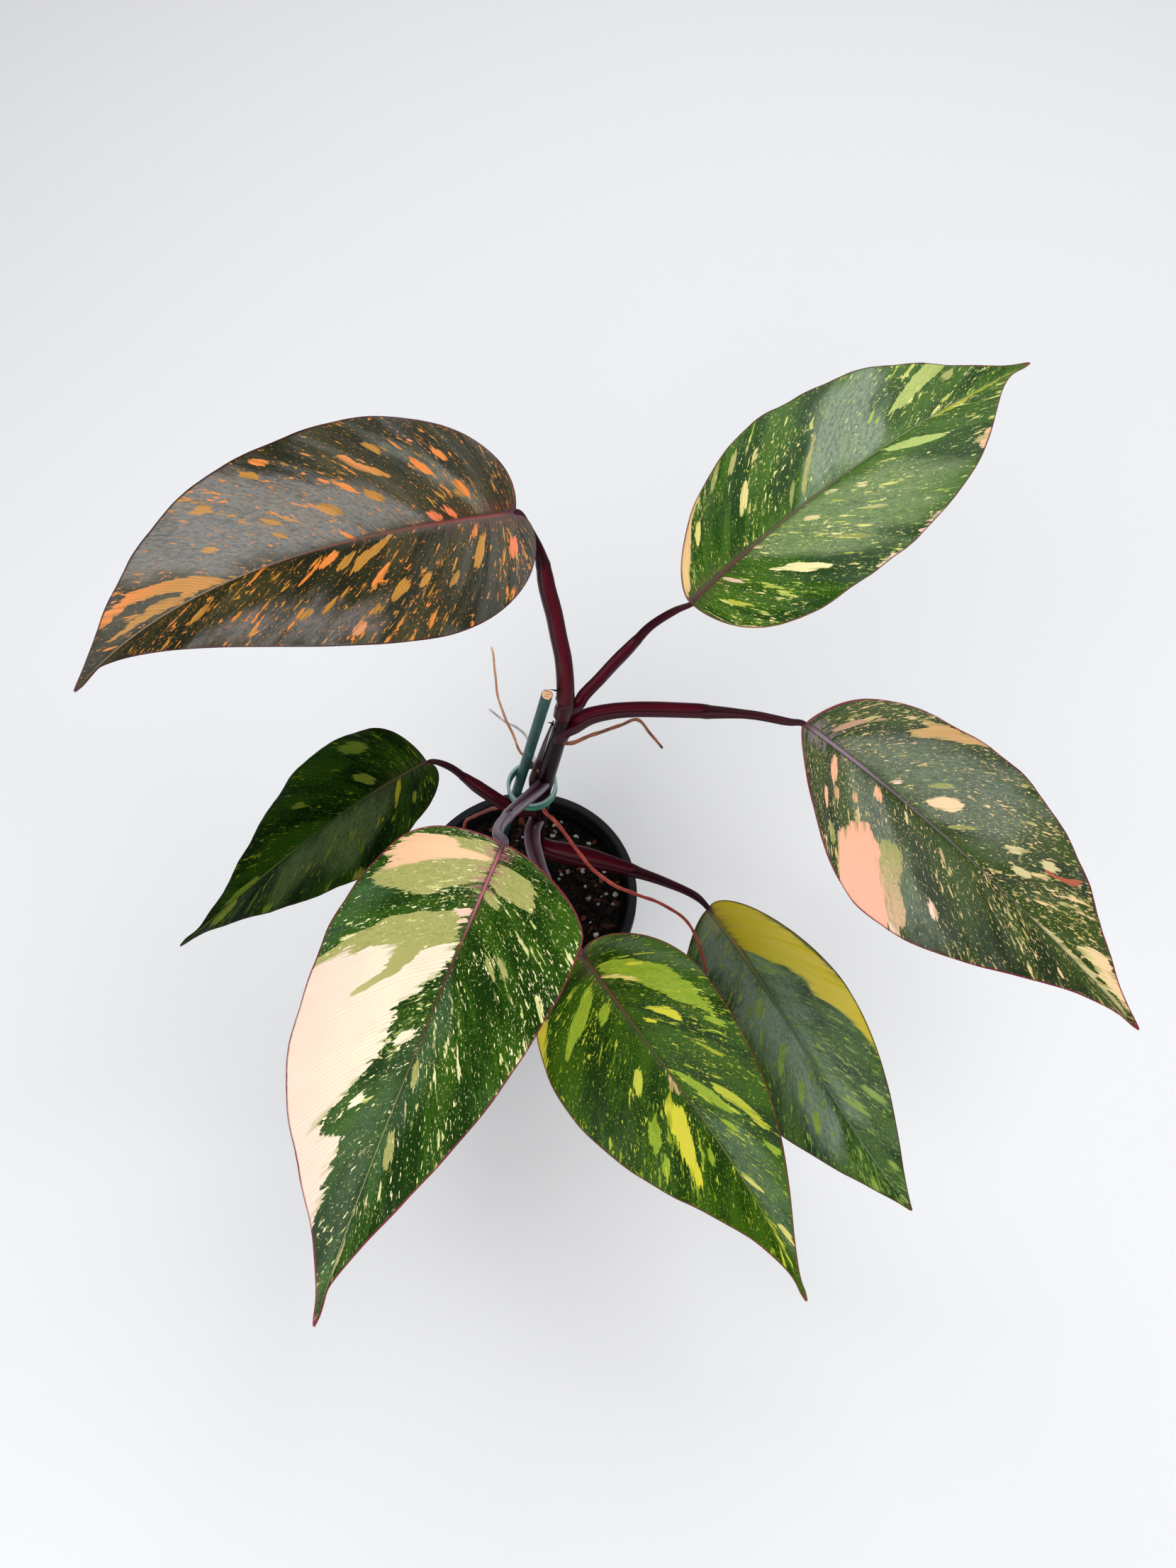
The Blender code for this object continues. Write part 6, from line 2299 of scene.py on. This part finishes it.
STALKS = (
    Stalk(
        1, (
            (4.6, 18.9, 101), (11.5, 13.6, 105), (19, 9.5, 109.6), (40.3, -0.7, 120), (60.3, -12.4, 130),
            (72.0, -21.2, 136)),
        (3.2, 4.2, 4.2, 2.9, 2.2, 1.7, 1.5), BLADES[0].shape, WINE, 0.55),
    Stalk(
        2, (
            (7.5, 15.4, 133.5), (5.4, 8.5, 137), (5.6, -0.4, 141), (7.7, -9.1, 144.5),
            (9.9, -16.2, 147.6), (15.9, -31.1, 154.5), (23.6, -51.5, 164)),
        (3.0, 3.3, 3.2, 2.7, 2.3, 1.9, 1.6, 1.5), BLADES[1].shape, MAUVE, 0.5),
    Stalk(
        3, (
            (8.5, 14.2, 145.5), (1.6, 12.2, 147.4), (-5.3, 12.2, 151.9), (-11.0, 13.7, 157.1),
            (-17.7, 15.8, 163.6), (-25.9, 18.8, 172), (-31.5, 19.0, 176.2)),
        (2.8, 2.8, 2.6, 2.5, 2.4, 1.6, 1.4, 1.35), BLADES[2].shape, MAROON, 0.62),
    Stalk(
        4, (
            (12.1, 11.5, 175), (9.5, 5.8, 179), (4.3, -6.1, 191), (1.2, -15.2, 201.5),
            (-0.8, -22.4, 210), (-2.0, -29.3, 218.3), (-1.5, -36.0, 226)),
        (2.4, 2.4, 2.2, 2.1, 2.1, 2.0, 1.9, 1.8), BLADES[3].shape, MAUVE, 0.55),
    Stalk(
        5, (
            (17.6, 12.7, 206), (19.6, 12.8, 211.5), (23.2, 12.8, 214.8), (28.5, 13.9, 218.4),
            (36.5, 13.7, 222.3), (45.3, 12.3, 225.9), (62.2, 7.9, 232.5), (82.7, 1.7, 240.4),
            (94.5, -3.2, 244)),
        (3.2, 3.2, 2.7, 2.5, 2.5, 2.4, 2.3, 1.6, 1.45, 1.4), BLADES[4].shape, MAROON, 0.6),
    Stalk(
        6, (
            (20.1, 12.6, 224.5), (24.5, 13.0, 227.9), (26.7, 15.5, 230.1), (32.2, 20.0, 233.6),
            (37.3, 24.4, 237), (42.4, 28.5, 240.2), (49.4, 34.4, 244.8), (58.1, 38.6, 248.3)),
        (2.2, 2.1, 2.0, 2.0, 2.0, 1.7, 1.5, 1.4, 1.35), BLADES[5].shape, MAROON, 0.55),
    Stalk(
        7, (
            (19.4, 12.8, 222), (20.2, 12.2, 231), (20.4, 12.8, 238), (20.3, 15.5, 243.6),
            (19.7, 19.3, 248.5), (18.3, 23.7, 254.3), (17.0, 28.0, 260.2), (14.8, 33.3, 267.7),
            (12.9, 39.5, 276.4), (9.0, 44.6, 283.4)),
        (3.4, 3.4, 3.1, 3.0, 2.9, 2.9, 2.9, 2.8, 2.0, 1.7, 1.6), BLADES[6].shape, WINE, 0.7, 0.08, 0.12),
)

ROOTS = {
    "root_1_tan": Root(
        "tan_root", (
            (10.8, 12.0, 172), (6.8, 17.6, 177.5), (2.4, 19.4, 183), (-0.1, 23.8, 184.8),
            (-4.4, 33.8, 187.7), (-7.2, 42.7, 190.4), (-8.1, 48.7, 192.3), (-8.8, 56.6, 194.8),
            (-9.7, 59.6, 195.7)),
        (0.5, 0.5, 0.4),
        RootFinish(paint(150, 92, 62), paint(190, 142, 104), paint(206, 172, 136), 1.0)),
    "root_2_grey": Root(
        "grey_root", (
            (9.2, 13.8, 157), (7.5, 24.0, 156.5), (2.3, 43.7, 153.6), (-6.4, 55.5, 144),
            (-15.5, 69.0, 133)),
        (0.6, 0.55, 0.45),
        RootFinish(paint(150, 146, 140), paint(196, 194, 190), paint(206, 204, 200), 2.0)),
    "root_3_brown": Root(
        "brown_root", (
            (16.9, 12.8, 202), (22.5, 12.4, 202.6), (30.3, 15.7, 203.6), (39.7, 18.6, 204.3),
            (46.2, 20.8, 204.8), (51.0, 16.9, 202.2), (55.7, 12.0, 199.1)),
        (0.8, 0.65, 0.5),
        RootFinish(paint(74, 32, 18), paint(142, 80, 46), paint(60, 36, 28), 3.0)),
    "root_4_red": Root(
        "red_root", (
            (9.2, 13.4, 154), (10.8, 8.6, 153), (15.7, 4.0, 152.3), (27.4, -12.3, 150.6),
            (38.8, -22.5, 150.5), (53.5, -29.4, 152.7), (66.6, -39.0, 153.4), (70.8, -48.9, 152.3),
            (72.9, -58.5, 150.9)),
        (0.8, 0.7, 0.55),
        RootFinish(paint(140, 40, 30), paint(186, 72, 54), paint(128, 40, 26), 4.0)),
    "root_5_rust": Root(
        "rust_root", (
            (8.1, 14.7, 141), (1.5, 13.4, 143.5), (-4.6, 16.0, 143), (-9.3, 19.5, 135.3),
            (-14.4, 22.0, 127.6), (-20.7, 24.1, 118.5), (-26.2, 26.0, 107), (-28.5, 26.5, 90),
            (-27.5, 25.5, 66)),
        (0.9, 0.8, 0.7),
        RootFinish(paint(96, 26, 18), paint(142, 50, 36), paint(80, 24, 16), 5.0)),
}

DRY_TIPS = (
    DryTip("dry_tip_top", (
        (20.0, 12.4, 240.0), (17.6, 10.6, 241.4), (16.4, 10.4, 242.2), (15.4, 10.9, 242.0)), 0.45),
    DryTip("dry_tip_bract", (
        (16.6, 13.6, 210), (15.6, 14.4, 212.2), (14.6, 14.6, 213.4), (13.6, 14.4, 213.8)), 0.6),
    DryTip("dry_tip_stalk", (
        (0.9, -16.0, 204.2), (0.2, -17.6, 205.4), (0.0, -18.6, 205.6), (0.3, -19.8, 205.2)), 0.45),
)


# Camera, floor and light


@dataclass(frozen=True)
class Camera:
    """The camera at the photograph's place, 62 degrees above the horizon."""

    place: Point = (0.0281, -0.2011, 0.5785)
    tilt: float = 27.6
    lens: float = 27.05
    sensor: float = 36
    nearest: float = 0.01

    def build(self) -> bpy.types.Object:
        """Adds the camera and makes it the scene's own.

        Returns:
            The camera's object.
        """
        data = bpy.data.cameras.new("camera")
        data.lens = self.lens
        data.sensor_width = self.sensor
        data.clip_start = self.nearest
        made = place_object("camera", data)
        made.location = self.place
        made.rotation_euler = (math.radians(self.tilt), 0, 0)
        bpy.context.scene.camera = made
        return made


@dataclass(frozen=True)
class Lamp:
    """A square soft light that hangs round the plant and faces it.

    azimuth and elevation are in degrees, from the X axis and from the horizon.
    """

    name: str
    azimuth: float
    elevation: float
    size: float
    power: float
    distance: float = 1.6
    aim: Point = (0.03, -0.03, 0.18)

    def build(self) -> bpy.types.Object:
        """Adds the light.

        Returns:
            The light's object.
        """
        data = bpy.data.lights.new(self.name, "AREA")
        data.shape = "SQUARE"
        data.size = self.size
        data.energy = self.power
        made = place_object(self.name, data)
        turn, rise = math.radians(self.azimuth), math.radians(self.elevation)
        level = self.distance * math.cos(rise)
        away = (level * math.cos(turn), level * math.sin(turn), self.distance * math.sin(rise))
        made.location = np.add(self.aim, away).tolist()
        made.rotation_euler = (math.pi / 2 - rise, 0, turn + math.pi / 2)
        made.visible_camera = False
        return made


@dataclass(frozen=True)
class Studio:
    """A round pale floor under an even pale sky, with soft lights."""

    floor_size: float = 3.8
    floor_corners: int = 128
    floor_tint: Colour = paint(241, 242, 244)
    horizon: Colour = (0.77, 0.78, 0.81, 1.0)
    overhead: Colour = (0.145, 0.148, 0.155, 1.0)
    lamps: tuple[Lamp, ...] = (
        Lamp("front_left", -118, 38, 1.4, 19),
        Lamp("right", 5, 60, 1.1, 11),
        Lamp("back", 82, 52, 1.2, 10),
    )

    def sky(self) -> bpy.types.World:
        """A sky that is pale at the horizon and dim overhead, where the lamps hang.

        Returns:
            The world.
        """
        graph = Graph(bpy.data.worlds.new("sky"))
        height = graph.axis(graph.node("ShaderNodeTexCoord", {}, {}), 2)
        colour = graph.mix(height.step(0.05, 0.45), self.horizon, self.overhead)
        shade = graph.node("ShaderNodeBackground", {}, {"Color": colour})
        ending = graph.tree.nodes.new("ShaderNodeOutputWorld")
        graph.tree.links.new(shade.socket, ending.inputs["Surface"])
        return graph.owner

    def floor_material(self) -> bpy.types.Material:
        """Matt pale board with the faintest mottling.

        Returns:
            The material.
        """
        graph = Graph.named("pale_board")
        clouds = graph.noise(graph.object_place(), 3, 1, 2)
        colour = graph.mix(clouds * 0.3, self.floor_tint, paint(237, 239, 242))
        return graph.finish(Base_Color=colour, Roughness=0.9)

    def build(self) -> None:
        """Adds the floor, the sky and the lights."""
        turn = round_turn(self.floor_corners)
        rim = np.stack([np.cos(turn), np.sin(turn), np.zeros_like(turn)], axis=1) * self.floor_size / 2
        mesh = bpy.data.meshes.new("floor")
        mesh.from_pydata(rim.tolist(), [], [list(range(len(rim)))])
        mesh.materials.append(self.floor_material())
        floor = place_object("floor", mesh)
        bpy.context.scene.world = self.sky()
        for lamp in self.lamps:
            lamp.build()
        bpy.context.scene.view_settings.view_transform = "Standard"


def main() -> None:
    """Builds every piece, then the studio."""
    logging.basicConfig(level=logging.INFO, format="%(name)s: %(message)s")
    Camera().build()
    pot = Pot()
    pot.dress()
    Soil().dress(pot)
    Stake().dress()
    Tie().dress()
    Stem(BARK_SKIN).dress()
    Bract(BRACT_SKIN).dress()
    for stalk in STALKS:
        stalk.dress()
    for blade in BLADES:
        blade.dress()
    for node, root in ROOTS.items():
        root.dress(node)
    withered = GrainFinish(paint(20, 12, 12), paint(38, 22, 18), paint(70, 44, 34), 0.7)
    material = withered.material("withered")
    for tip in DRY_TIPS:
        tip.dress(material)
    Studio().build()


if __name__ == "__main__":
    main()
